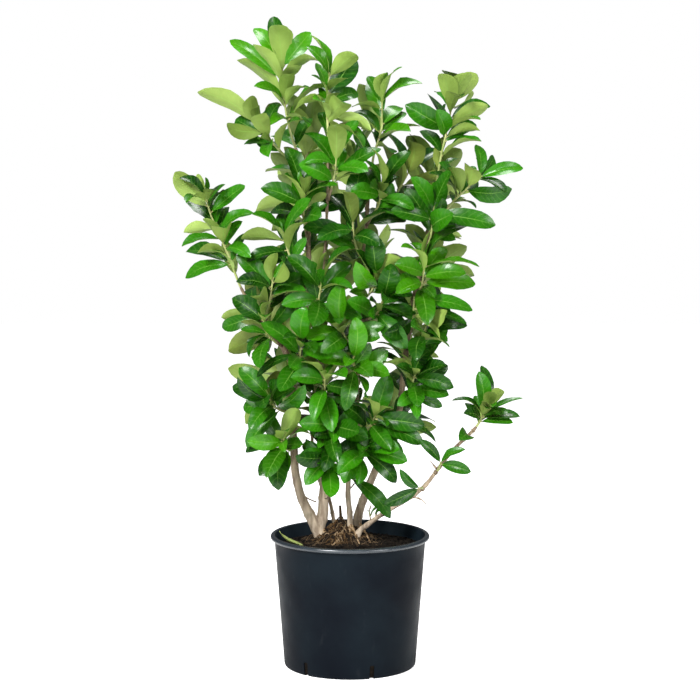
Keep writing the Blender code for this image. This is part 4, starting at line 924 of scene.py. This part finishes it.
     ((0.90, 76, -24, -20, 36, 0.6), (0.55, 62, -22, -50, 32, 0.6), (0.50, -50, -38, -34, 38, 0.6),
      (0.96, 50, -46, 26, 32, 0.5)),
     3, 86),
    ("shoot_branch_inner", "stem_low_branch", "leaf_dark", 0.35,
     ((136, -12, 338), (136, -22, 341), (133, -34, 344), (129, -48, 346)),
     ((0.90, -66, -26, -26, 25, 0.5), (0.95, -36, -30, 36, 19, 0.3)),
     0, 91),
    ("shoot_branch_mid", "stem_low_branch", "leaf_green", 0.30,
     ((160, -22, 371), (163, -31, 376), (166, -42, 384), (168, -54, 395)),
     ((1.00, -38, -22, 46, 20, 0.4), (0.92, 41, -28, 33, 21, 0.4), (0.80, 55, -30, -9, 25, 0.5)),
     0, 85),
    ("shoot_branch_head", "stem_low_branch", "leaf_green", 0.25,
     ((228, -40, 452), (235, -41, 461), (243, -42, 474), (249, -43, 490)),
     ((0.90, -8, -12, 78, 32, 0.6), (1.00, 0, 26, 84, 29, 0.4), (0.75, -52, -14, 36, 20, 0.4),
      (0.35, -38, -34, 26, 26, 0.5), (0.95, 14, -40, 44, 24, 0.6), (0.98, 32, -26, 46, 29, -0.5),
      (0.85, 73, 6, 30, 18, 0.2), (0.65, 46, -30, 14, 22, 0.5), (0.20, 60, -24, 2, 24, 0.5)),
     0, 89),
    ("shoot_back_top", "stem_left", "leaf_green", 0.25,
     ((-84, 27, 925), (-84, 56, 942), (-80, 86, 968), (-76, 108, 1004)), (), 7, 100),
    ("shoot_back_high_left", "stem_left", "leaf_green", 0.30,
     ((-78, 20, 820), (-86, 58, 838), (-94, 100, 866), (-98, 134, 906)), (), 8, 102),
    ("shoot_back_mid_left", "stem_left", "leaf_green", 0.30,
     ((-68, 23, 665), (-76, 66, 676), (-84, 116, 698), (-90, 156, 734)), (), 8, 104),
    ("shoot_back_left", "stem_left", "leaf_dark", 0.30,
     ((-126, 10, 605), (-138, 50, 616), (-150, 94, 638), (-158, 130, 672)), (), 7, 102),
    ("shoot_back_low_left", "stem_left", "leaf_green", 0.30,
     ((-110, 22, 500), (-120, 60, 508), (-132, 102, 526), (-140, 136, 556)), (), 7, 100),
    ("shoot_back_centre_high", "stem_centre", "leaf_bright", 0.30,
     ((32, 33, 860), (26, 70, 876), (16, 106, 906), (10, 132, 948)), (), 7, 100),
    ("shoot_back_centre", "stem_centre", "leaf_green", 0.30,
     ((22, 28, 715), (20, 72, 724), (16, 120, 744), (12, 160, 778)), (), 8, 104),
    ("shoot_back_low_centre", "stem_centre", "leaf_dark", 0.30,
     ((14, 20, 555), (6, 64, 562), (-4, 112, 578), (-12, 150, 608)), (), 7, 102),
    ("shoot_back_right_high", "stem_right", "leaf_green", 0.30,
     ((150, 15, 845), (154, 54, 862), (156, 92, 890), (156, 120, 930)), (), 7, 98),
    ("shoot_back_right", "stem_right", "leaf_green", 0.30,
     ((120, 15, 700), (132, 54, 708), (146, 98, 726), (156, 134, 760)), (), 8, 102),
    ("shoot_back_low_right", "stem_right", "leaf_green", 0.30,
     ((99, 16, 542), (108, 56, 550), (120, 100, 568), (128, 136, 600)), (), 7, 100),
    ("shoot_back_lowest", "stem_right", "leaf_green", 0.30,
     ((60, 37, 394), (64, 72, 402), (68, 108, 420), (70, 138, 450)), (), 7, 94),
)


def splitRoute(route, share):
    # The brown and the green stretch, each straight for a short run where they meet.
    cut = pointAt(route, share)
    way = directionAt(route, share)
    lengths = routeLengths(route)
    place = share * lengths[-1]
    first = route[lengths < place - wood["jointRun"]]
    last = route[lengths > place + wood["jointRun"]]
    if len(first) == 1:
        way = unit(cut - first[0])
    bend = [cut - way * wood["jointRun"]] if len(first) > 1 else []
    gap = way * wood["clearance"] / 2
    return np.vstack((first, *bend, cut - gap)), np.vstack((cut + gap, cut + way * wood["jointRun"], last))


def brownRoute(shoot):
    return splitRoute(metres(shoot[4]), shoot[3])[0]


def greenRoute(shoot):
    return splitRoute(metres(shoot[4]), shoot[3])[1]


def woodTube(route, ends, tones, columns, draw, collar=0.0, flare=(0.0, 1.0)):
    # An eased route. Its radius tapers from end to end, swells at knots and at its foot's collar, and
    # wanders a little; its tone runs from the first to the last.
    path = eased(route, wood["step"])
    lengths = routeLengths(path)
    share = lengths / lengths[-1]
    radii = ends[0] + (ends[1] - ends[0]) * share
    knots = np.arange(draw.uniform(0.3, 1.0), lengths[-1] / wood["knotEvery"], 1.0) * wood["knotEvery"]
    for knot in knots:
        off = lengths - knot - draw.gauss(0, wood["knotShift"])
        radii = radii + wood["knotHeight"] * np.exp(-(off / wood["knotLength"])**2)
    foot = collar * np.exp(-lengths / wood["collarLength"])
    radii = radii * (1 + foot + flare[0] * np.exp(-(lengths / flare[1])**4))
    phases = [draw.uniform(0, math.tau) for lobe in wood["lobes"]]
    turn = lengths[:, None] * wood["twist"]

    def lobes(angles):
        factor = 1
        for (count, size, pace), phase in zip(wood["lobes"], phases):
            factor = factor + size * np.sin(count * angles + phase + pace * turn)
        return factor

    shape = stalk(path, radii, columns, lobes=lobes)
    tone = np.repeat(tones[0] + (tones[1] - tones[0]) * share, columns)
    shape["tone"] = np.concatenate((tone, tones))
    return shape


def makeWood(bark):
    for number, (name, trunks) in enumerate(woodyStems.items()):
        draw = random.Random(wood["seed"] + number)
        shapes = []
        for (first, last, points), flare in zip(trunks, flares[name]):
            ends = (first * mm, last * mm)
            shapes.append(woodTube(metres(points), ends, wood["trunkTones"], wood["trunkSides"], draw,
                                   flare=flare))
        for shoot in leafyShoots:
            if shoot[1] == name:
                ends = (wood["twigRadius"], wood["shootRadius"])
                shapes.append(woodTube(brownRoute(shoot), ends, wood["twigTones"], wood["twigSides"], draw,
                                       wood["collar"]))
        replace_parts(makePiece(name + "_bark", shapes, [bark]), name)
    draw = random.Random(wood["spurSeed"])
    shapes = []
    for first, points in spurs:
        ends = (first * mm, wood["spurTaper"] * first * mm)
        shapes.append(woodTube(metres(points), ends, wood["spurTones"], wood["spurSides"], draw,
                               wood["spurCollar"]))
    makePiece("twig_spurs", shapes, [bark])
    print("woody stems done")


# A leaf: half its width is a long oval, widest past its middle. Its section is a thin lens with a
# rib underneath, folded up from the midrib, waved along its edges and curled down at its tip. It is
# rolled about its own axis, within the first spread or, for the turned share of leaves, the second.
# Blades with middles nearby are tried against each other.
leaf = {"petioleHalf": 0.0011, "petioleEnd": 0.05, "petioleFade": 0.08, "bladeStart": 0.07, "skew": 1.3,
        "fullness": 0.54, "point": 0.06, "thickness": 0.0007, "rib": 0.0011, "fold": (0.10, 0.50),
        "foldCurve": 1.25, "wave": (0.03, 0.14), "waves": (1.2, 2.4), "waveShift": (1.5, 4.5),
        "curl": (0.0, 0.18), "curlFrom": 0.5, "roll": (11, 75), "turned": 0.36, "ownTurned": 0.03,
        "sway": 0.05, "firstLeaf": 0.16, "lastLeaf": 0.96, "leastFacing": 0.2, "arch": (0.05, 0.12),
        "sharpAngle": 60, "bladeFrom": 0.12, "nearby": 0.13, "tries": 24, "seed": 500, "againSeed": 900}
# How more leaves stand round a shoot, and the turns and sizes that a solid's leaf may have taken
spiral = {"golden": 137.5, "turnSpread": 15, "pitchAtFoot": 74, "pitchAtTip": 34, "pitchSpread": 12,
          "liftSlope": 0.7, "levelHeight": 0.62, "length": (0.85, 1.12), "width": (0.39, 0.46),
          "middleDepth": 0.025, "outerDepth": 0.050, "facing": (0.0, 0.6), "sideNudge": (0.001, 0.0, 0.0),
          "turns": (0, 14, -14, 28, -28, 44, -44, 62, -62), "shrinks": (1.0, 0.85), "tipTolerance": 0.0007}
leafAlong = np.array((0.0, 0.05, 0.085, 0.14, 0.22, 0.34, 0.48, 0.62, 0.75, 0.86, 0.94, 0.997))[:, None]
leafAcross = np.array((1, 0.5, 0, -0.5, -1, -0.5, 0, 0.5))
leafSide = np.array((0, 0, 0, 0, 1, 1, 1, 1))


def halfWidth(share, width):
    blade = np.clip((share - leaf["bladeStart"]) / (1 - leaf["bladeStart"]), 0, 1)
    bow = np.maximum(0, 1 - (2 * blade**leaf["skew"] - 1)**2)
    return np.maximum(leaf["petioleHalf"], width / 2 * bow**(leaf["fullness"] + leaf["point"] * share**4))


def leafShape(root, reach, normal, width, arch, draw, tone, topSlot=0, underSlot=1, turned=leaf["turned"]):
    length = float(np.linalg.norm(reach))
    way = reach / length
    roll = leaf["roll"][1] if draw.random() < turned else leaf["roll"][0]
    normal = turnAbout(normal, way, draw.gauss(0, roll))
    side = np.cross(normal, way)
    u = leafAlong
    v = leafAcross
    half = halfWidth(u, width)
    blade = np.clip((u - leaf["petioleEnd"]) / leaf["petioleFade"], 0, 1)
    blade = blade * blade * (3 - 2 * blade)
    under = leafSide * np.ones_like(u)
    lens = np.sqrt(1 - v**2)
    petiole = leaf["petioleHalf"] * lens * (1 - 2 * under)
    rib = leaf["rib"] * (1.1 - u) * (v == 0)
    sheet = -under * (leaf["thickness"] * lens + rib)
    fold = draw.uniform(*leaf["fold"])
    wave = draw.uniform(*leaf["wave"])
    edge = np.abs(v)**leaf["foldCurve"]
    swing = math.tau * (draw.uniform(*leaf["waves"]) * u + draw.random())
    ripple = np.sin(swing + (v > 0) * draw.uniform(*leaf["waveShift"]))
    height = (1 - blade) * petiole + blade * (sheet + half * (fold * edge + wave * ripple * v**2))
    height = height + length * arch * 4 * u * (1 - u)
    bent = np.clip((u - leaf["curlFrom"]) / (1 - leaf["curlFrom"]), 0, 1)
    height = height - length * draw.uniform(*leaf["curl"]) * bent**2
    shift = v * half * np.cos(fold * blade) + length * draw.gauss(0, leaf["sway"] / 2) * 4 * u * (1 - u)
    points = root + reach * u[..., None] + side * shift[..., None] + normal * height[..., None]
    slots = np.where(leafSide, underSlot, topSlot) * np.ones((len(u) - 1, 1), dtype=int)
    shape = tubeShape(points, (v + 1) / 2, u, tone, slots)
    # the underside's quads start a corner later, so that they split along the same lines as the top's
    under = np.tile(leafSide == 1, len(u) - 1)
    shape["quads"][under] = np.roll(shape["quads"][under], -1, axis=1)
    return shape


class Blades:
    # the blades that stand, without their petioles, to find what a further one would cut through

    def __init__(self):
        self.trees = []
        self.middles = np.zeros((0, 3))

    def takes(self, shape, always=False):
        # adds a blade that is clear of the others, or any if always is set, and says if it did
        blade = shape["spread"][shape["quads"][:, 0], 1] > leaf["bladeFrom"]
        tree = BVHTree.FromPolygons(shape["points"].tolist(), shape["quads"][blade].tolist())
        middle = shape["points"].mean(axis=0)
        near = np.flatnonzero(np.linalg.norm(self.middles - middle, axis=1) < leaf["nearby"])
        if not always and any(tree.overlap(self.trees[index]) for index in near):
            return False
        self.trees.append(tree)
        self.middles = np.vstack((self.middles, middle))
        return True


blades = Blades()


def leafFinishes(*tones):
    return [finish(tone) for tone in tones for finish in (upperFinish, underFinish)]


def stemShare(place):
    # where on its green stem a leaf stands that has this place among the shoot's leaves
    return leaf["firstLeaf"] + (leaf["lastLeaf"] - leaf["firstLeaf"]) * place


def leafFrame(route, place, reach, facing):
    # the root, and the upper side's direction: towards the stem's tip, and turned to the front as asked
    share = stemShare(place)
    way = unit(reach)
    normal = unit(squareTo(way, directionAt(route, share)))
    asked = normal * (1 - abs(facing)) + squareTo(way, toViewer) * facing
    if np.linalg.norm(asked) > leaf["leastFacing"]:
        normal = unit(asked)
    return pointAt(route, share), normal


def leavingWay(axis, root, pitch, around):
    # off the stem at the pitch, then up in the top of the plant and down below its middle
    side = unit(np.cross(axis, up) + np.array(spiral["sideNudge"]))
    pitch = math.radians(pitch)
    way = axis * math.cos(pitch) + turnAbout(side, axis, around) * math.sin(pitch)
    return unit(way + up * spiral["liftSlope"] * (root[2] - spiral["levelHeight"]))


def outwards(root):
    # 1 for a leaf at the plant's front and -1 for one at its back
    return min(1.0, max(-1.0, (spiral["middleDepth"] - root[1]) / spiral["outerDepth"]))


def wantedLeaves(shoot, route, number):
    # the shoot's own leaves, then those that the spiral rule adds, drawn as in the solid model
    draw = random.Random(number)
    own, more, length = shoot[5:]
    wanted = []
    for place, right, back, high, width, facing in own:
        arch = draw.uniform(*leaf["arch"])
        wanted.append((place, metres((right, back, high)), width * mm, facing, arch, leaf["ownTurned"]))
    turn = draw.uniform(0, 360)
    for index in range(more):
        place = (index + 0.5) / more
        pitch = spiral["pitchAtFoot"] + (spiral["pitchAtTip"] - spiral["pitchAtFoot"]) * place
        pitch = pitch + draw.uniform(-spiral["pitchSpread"], spiral["pitchSpread"])
        around = turn + index * spiral["golden"] + draw.uniform(-spiral["turnSpread"], spiral["turnSpread"])
        root = pointAt(route, place)
        way = leavingWay(directionAt(route, place), root, pitch, around)
        reach = way * length * mm * draw.uniform(*spiral["length"])
        width = length * mm * draw.uniform(*spiral["width"])
        facing = outwards(root) * draw.uniform(*spiral["facing"])
        wanted.append((place, reach, width, facing, draw.uniform(*leaf["arch"]), leaf["turned"]))
    return wanted


def fittedLeaf(corners, route, wanted):
    # the turned or smaller form whose tip the solid has, with the leaf's share of turning, or None
    # where the solid left the leaf out
    place, reach, width, facing, arch, turned = wanted
    axis = directionAt(route, stemShare(place))
    for shrink in spiral["shrinks"]:
        for turn in spiral["turns"]:
            tried = turnAbout(reach * shrink, axis, turn)
            base, normal = leafFrame(route, place, tried, facing)
            if np.abs(corners - base - tried).max(axis=1).min() < spiral["tipTolerance"]:
                return (base, tried, normal, width * shrink, arch), turned
    return None


def clearLeaf(form, turned, draw, again):
    # the leaf as first drawn, unless it cuts through another and one of its further draws doesn't
    first = shape = leafShape(*form, draw, draw.random(), turned=turned)
    for attempt in range(leaf["tries"]):
        if blades.takes(shape):
            return shape
        shape = leafShape(*form, again, again.random(), turned=turned)
    blades.takes(first, True)
    return first


def solidCorners(name):
    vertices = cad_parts[name].data.vertices
    corners = np.empty(len(vertices) * 3)
    vertices.foreach_get("co", corners)
    return corners.reshape(-1, 3)


def makeShoots(stemFinish):
    finishes = {tone: [*leafFinishes(tone), stemFinish] for tone in leafLook["upper"]}
    count = 0
    missing = 0
    for number, shoot in enumerate(leafyShoots):
        name = shoot[0]
        tone = shoot[2]
        draw = random.Random(leaf["seed"] + number)
        again = random.Random(leaf["againSeed"] + number)
        route = greenRoute(shoot)
        path = eased(route, wood["shootStep"], 2)
        radii = np.linspace(wood["shootRadius"], wood["tipRadius"], len(path))
        shapes = [stalk(path, radii, wood["twigSides"], slots=2)]
        corners = solidCorners(name)
        for wanted in wantedLeaves(shoot, route, number):
            fitted = fittedLeaf(corners, route, wanted)
            if fitted:
                shapes.append(clearLeaf(*fitted, draw, again))
                count += 1
            else:
                missing += 1
        leaves = name.replace("shoot", "leaves")
        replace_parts(makePiece(leaves, shapes, finishes[tone], leaf["sharpAngle"]), name)
    print("leafy shoots done:", count, "leaves,", missing, "left out as in the solids")


# The leaves between those of the solids: small young ones up each green stem and at its tip, a few on the
# low front shoots that stand up and show their undersides, and dark ones on the bare wood inside and
# behind the shoots. Each takes the first turn that is clear of the leaves that are there.
filler = {"tipLeaves": 3, "youngPerShoot": 5, "youngFrom": 0.1, "youngRun": 0.85, "behindPerShoot": 3,
          "inner": 180, "innerHeights": (0.42, 1.00), "liftedShares": (0.35, 0.65, 0.90),
          "liftedBefore": -0.02, "liftedBelow": 0.80, "bareFrom": 0.235, "bareBelow": 0.45,
          "bareShoots": ("shoot_branch_inner", "shoot_branch_mid"), "slim": (0.34, 0.42),
          "facing": (0.0, 1.2), "tries": 14, "shorter": 0.02, "boxMargin": 0.004,
          "margins": (-0.0012, 0.0028), "bow": 0.06, "seed": 12, "liftedSeed": 13}
# Each kind's length and pitch from its stem, and where it has them the direction that the stem is
# taken to lean in and how far the leaf faces the front
tipLeaf = {"length": (0.024, 0.042), "pitch": (8, 30)}
youngLeaf = {"length": (0.048, 0.072), "pitch": (28, 65)}
liftedLeaf = {"length": (0.055, 0.080), "pitch": (5, 40), "lean": (0.0, -0.7, 0.9), "facing": (-1.4, -0.5)}
innerLeaf = {"length": (0.066, 0.092), "pitch": (50, 85)}
behindLeaf = {"length": (0.060, 0.086), "pitch": (5, 60), "lean": (0.0, 0.8, 0.0)}
# A piece of added leaves has leaves of two tones. Each tone's slots are its upper and its under side.
firstTone = (0, 1)
secondTone = (2, 3)

# Single leaves near the pot and on two shoots: their first slot, root, reach right, back and up, width,
# facing and arch
singles = (
    (0, (0, 27, 352), (78, -34, -66), 32, 0.6, 0.17),
    (2, (39, 15, 281), (12, -4, 19), 10, 0.3, 0.10),
    (2, (38, 15, 281), (-5, -4, 14), 8, 0.3, 0.10),
    (2, (47, 12, 285), (12, -6, 12), 8, 0.5, 0.10),
    (2, (187, 7, 1045), (-14, -45, 72), 40, -0.3, 0.04),
    (2, (189, 7, 1055), (26, -46, 62), 38, -0.5, 0.04),
    (0, (-232, -6, 792), (-2, 22, 50), 26, 0.3, 0.06),
    (2, (-238, -7, 803), (-30, -28, 46), 24, -0.3, 0.06),
    (2, (-214, -3, 745), (-32, -30, 50), 26, -0.3, 0.06),
)
# the rough outline of a leaf without its petiole: share of its length and of half its width
roughOutline = ((0.16, 0.3), (0.42, 1.0), (0.74, 1.0), (1.0, 0.0), (0.74, -1.0), (0.42, -1.0), (0.16, -0.3))


def roughTree(root, reach, normal, width):
    # two sheets of the rough outline, arched, that the leaf lies between
    side = np.cross(normal, unit(reach))
    far, out = np.array(roughOutline).T[..., None]
    flat = root + reach * far + side * (width / 2 * out)
    bow = 4 * far * (1 - far) * np.linalg.norm(reach) * filler["bow"]
    sheets = [flat + normal * (margin + bow) for margin in filler["margins"]]
    count = len(roughOutline)
    faces = [tuple(range(count)), tuple(range(count, 2 * count))]
    return BVHTree.FromPolygons(np.vstack(sheets).tolist(), faces)


def solidsTree():
    points = []
    faces = []
    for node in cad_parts.values():
        first = len(points)
        points += [tuple(vertex.co) for vertex in node.data.vertices]
        faces += [tuple(first + corner for corner in face.vertices) for face in node.data.polygons]
    return BVHTree.FromPolygons(points, faces)


def addedLeaf(solids, draw, route, share, kind, slots):
    # a leaf of the kind at the share of the stem, or None where no turn is clear
    length = draw.uniform(*kind["length"])
    root = pointAt(route, share)
    axis = directionAt(route, share)
    if "lean" in kind:
        axis = unit(axis + np.array(kind["lean"]))
    low, high = np.array(cadBox)
    first = draw.uniform(0, 360)
    for attempt in range(filler["tries"]):
        way = leavingWay(axis, root, draw.uniform(*kind["pitch"]), first + attempt * spiral["golden"])
        reach = way * length * (1 - filler["shorter"] * attempt)
        width = length * draw.uniform(*filler["slim"])
        front = squareTo(way, toViewer) * outwards(root)
        facing = draw.uniform(*kind.get("facing", filler["facing"]))
        normal = unit(unit(squareTo(way, axis)) + front * facing)
        normal = unit(squareTo(way, normal))
        tip = root + reach
        inBox = np.all(tip > low + filler["boxMargin"]) and np.all(tip < high - filler["boxMargin"])
        if inBox and not solids.overlap(roughTree(root, reach, normal, width)):
            arch = draw.uniform(*leaf["arch"])
            shape = leafShape(root, reach, normal, width, arch, draw, draw.random(), *slots)
            if blades.takes(shape):
                return shape
    return None


def keptLeaves(shapes):
    # without those that found no clear turn, and those below the low branch's head, where it is bare
    kept = []
    for shape in shapes:
        if shape:
            middle = shape["points"].mean(axis=0)
            if middle[0] <= filler["bareFrom"] or middle[2] >= filler["bareBelow"]:
                kept.append(shape)
    return kept


def singleLeaves(draw):
    shapes = []
    for slot, root, reach, width, facing, arch in singles:
        reach = metres(reach)
        way = unit(reach)
        normal = unit(unit(squareTo(way, up)) * (1 - facing) + squareTo(way, toViewer) * facing)
        shape = leafShape(metres(root), reach, normal, width * mm, arch, draw, draw.random(),
                          slot, slot + 1, leaf["ownTurned"])
        blades.takes(shape, True)
        shapes.append(shape)
    return shapes


def liftedLeaves(solids, shoots):
    draw = random.Random(filler["liftedSeed"])
    shapes = []
    for shoot in shoots:
        route = greenRoute(shoot)
        if route[-1][1] < filler["liftedBefore"] and route[-1][2] < filler["liftedBelow"]:
            shapes += [addedLeaf(solids, draw, route, share, liftedLeaf, firstTone)
                       for share in filler["liftedShares"]]
    return shapes


def youngLeaves(solids, draw, shoots):
    shapes = []
    for shoot in shoots:
        route = greenRoute(shoot)
        slots = secondTone if shoot[2] == "leaf_bright" else firstTone
        for index in range(filler["tipLeaves"]):
            shapes.append(addedLeaf(solids, draw, route, 1.0, tipLeaf, secondTone))
        for index in range(filler["youngPerShoot"]):
            run = filler["youngRun"] * (index + draw.random()) / filler["youngPerShoot"]
            share = filler["youngFrom"] + run
            shapes.append(addedLeaf(solids, draw, route, share, youngLeaf, slots))
    return shapes


def shareAtHeight(trunk, height):
    # the middle of the stretch that passes the height
    lengths = routeLengths(trunk)
    first = np.searchsorted(trunk[:, 2], height) - 1
    return lengths[first:first + 2].mean() / lengths[-1]


def innerLeaves(solids, draw, shoots):
    trunks = [metres(points) for group in woodyStems.values() for _, _, points in group]
    shapes = []
    for index in range(filler["inner"]):
        trunk = trunks[index % len(trunks)]
        height = draw.uniform(*filler["innerHeights"])
        if height <= trunk[-1][2]:
            share = shareAtHeight(trunk, height)
            shapes.append(addedLeaf(solids, draw, trunk, share, innerLeaf, firstTone))
    for shoot in shoots:
        route = greenRoute(shoot)
        for index in range(filler["behindPerShoot"]):
            share = (index + draw.random()) / filler["behindPerShoot"]
            shapes.append(addedLeaf(solids, draw, route, share, behindLeaf, firstTone))
    return shapes


def makeFillers():
    draw = random.Random(filler["seed"])
    solids = solidsTree()
    shoots = [shoot for shoot in leafyShoots if shoot[0] not in filler["bareShoots"]]
    young = singleLeaves(draw) + liftedLeaves(solids, shoots) + youngLeaves(solids, draw, shoots)
    young = keptLeaves(young)
    makePiece("young_leaves", young, leafFinishes("leaf_green", "leaf_bright"),
              leaf["sharpAngle"])
    inner = keptLeaves(innerLeaves(solids, draw, shoots))
    # every other one in green
    for shape in inner[::2]:
        shape["slots"] = shape["slots"] + secondTone[0]
    makePiece("inner_leaves", inner, leafFinishes("leaf_dark", "leaf_green"), leaf["sharpAngle"])
    print("added leaves done:", len(young), "young and", len(inner), "on bare wood and behind the shoots")


# The fallen leaf on the compost
fallen = {"start": (-0.134, 0.030), "end": (-0.086, 0.000), "width": 0.0170, "lift": (0.024, 0.0045),
          "arch": -0.16, "faces": (0.60, -0.34, 0.72), "rib": (0.460, 0.480, 0.240), "roughness": 0.6,
          "blade": ((0.190, 0.250, 0.060), (0.360, 0.410, 0.140)), "seed": 9}


def makeFallenLeaf():
    start, end = [np.array((*spot, float(soilHeight(*spot)) + lift))
                  for spot, lift in zip((fallen["start"], fallen["end"]), fallen["lift"])]
    normal = unit(squareTo(unit(end - start), np.array(fallen["faces"])))
    material, tree, shader = newFinish("fallen_leaf", fallen["roughness"])
    line, rib = veinShares(tree)[:2]
    colour = blended(tree, cloudy(tree, 120.0), *fallen["blade"])
    feed(tree, shader.inputs["Base Color"], blended(tree, rib, colour, fallen["rib"]))
    raised(tree, shader, maths(tree, "MAXIMUM", line, rib), 0.0004)
    draw = random.Random(fallen["seed"])
    shape = leafShape(start, end - start, normal, fallen["width"], fallen["arch"], draw, 0.5, 0, 0)
    piece = makePiece("fallen_blade", [shape], [material], leaf["sharpAngle"])
    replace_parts(piece, "fallen_leaf")
    print("fallen leaf done")


# The studio: a pale floor, soft lights and the camera. Floor and backdrop are white to the camera, and
# dimmer as lights.
studio = {"cameraPlace": (0.0, -4.3, 1.11), "cameraTilt": -6.78, "lens": 119.3, "floor": 6.0,
          "floorColour": (0.80, 0.80, 0.80), "floorGlow": (0.22, 0.86), "world": (0.14, 1.0), "power": 127.0}
# each light's place, turn, size and factor on the power
lights = {"key": ((-1.7, -2.6, 2.6), (54, 0, -33), (1.0, 1.0), 1.42),
          "fill": ((2.2, -2.4, 1.7), (68, 0, 42), (1.2, 1.2), 0.40),
          "front": ((0.25, -3.4, 1.75), (72, 0, 0), (2.0, 0.4), 0.20),
          "top": ((0.2, 0.6, 3.2), (0, 0, 0), (1.2, 1.2), 0.65)}


def glow(tree, asLight, toCamera):
    seen = tree.nodes.new("ShaderNodeLightPath").outputs["Is Camera Ray"]
    return between(tree, seen, 0.0, 1.0, asLight, toCamera)


def makeFloor():
    mesh = bpy.data.meshes.new("floor")
    size = studio["floor"]
    corners = [(-size, -size, 0), (size, -size, 0), (size, size, 0), (-size, size, 0)]
    mesh.from_pydata(corners, [], [(0, 1, 2, 3)])
    floor = bpy.data.objects.new("floor", mesh)
    bpy.context.scene.collection.objects.link(floor)
    material, tree, shader = newFinish("floor", 0.9, colour=studio["floorColour"])
    shader.inputs["Emission Color"].default_value = (1, 1, 1, 1)
    feed(tree, shader.inputs["Emission Strength"], glow(tree, *studio["floorGlow"]))
    mesh.materials.append(material)


def makeWorld():
    world = bpy.data.worlds.new("studio")
    world.use_nodes = True
    background = world.node_tree.nodes["Background"]
    background.inputs["Color"].default_value = (1, 1, 1, 1)
    feed(world.node_tree, background.inputs["Strength"], glow(world.node_tree, *studio["world"]))
    bpy.context.scene.world = world


def makeLights():
    for name, (place, turn, size, factor) in lights.items():
        light = bpy.data.lights.new(name, "AREA")
        light.shape = "RECTANGLE"
        light.size, light.size_y = size
        light.energy = studio["power"] * factor
        lamp = bpy.data.objects.new(name, light)
        lamp.location = place
        lamp.rotation_euler = [math.radians(angle) for angle in turn]
        bpy.context.scene.collection.objects.link(lamp)


def makeCamera():
    lens = bpy.data.cameras.new("camera")
    lens.lens = studio["lens"]
    camera = bpy.data.objects.new("camera", lens)
    camera.location = studio["cameraPlace"]
    camera.rotation_euler = (math.radians(90 + studio["cameraTilt"]), 0, 0)
    bpy.context.scene.collection.objects.link(camera)
    bpy.context.scene.camera = camera
    bpy.context.scene.view_settings.view_transform = "Standard"
    print("floor, lights and camera done")


makeFloor()
makeWorld()
makeLights()
makeCamera()
makePot()
makeCompost()
makeRootCrown()
makeWood(barkFinish())
makeShoots(shootFinish())
makeFillers()
makeFallenLeaf()
bpy.context.view_layer.update()
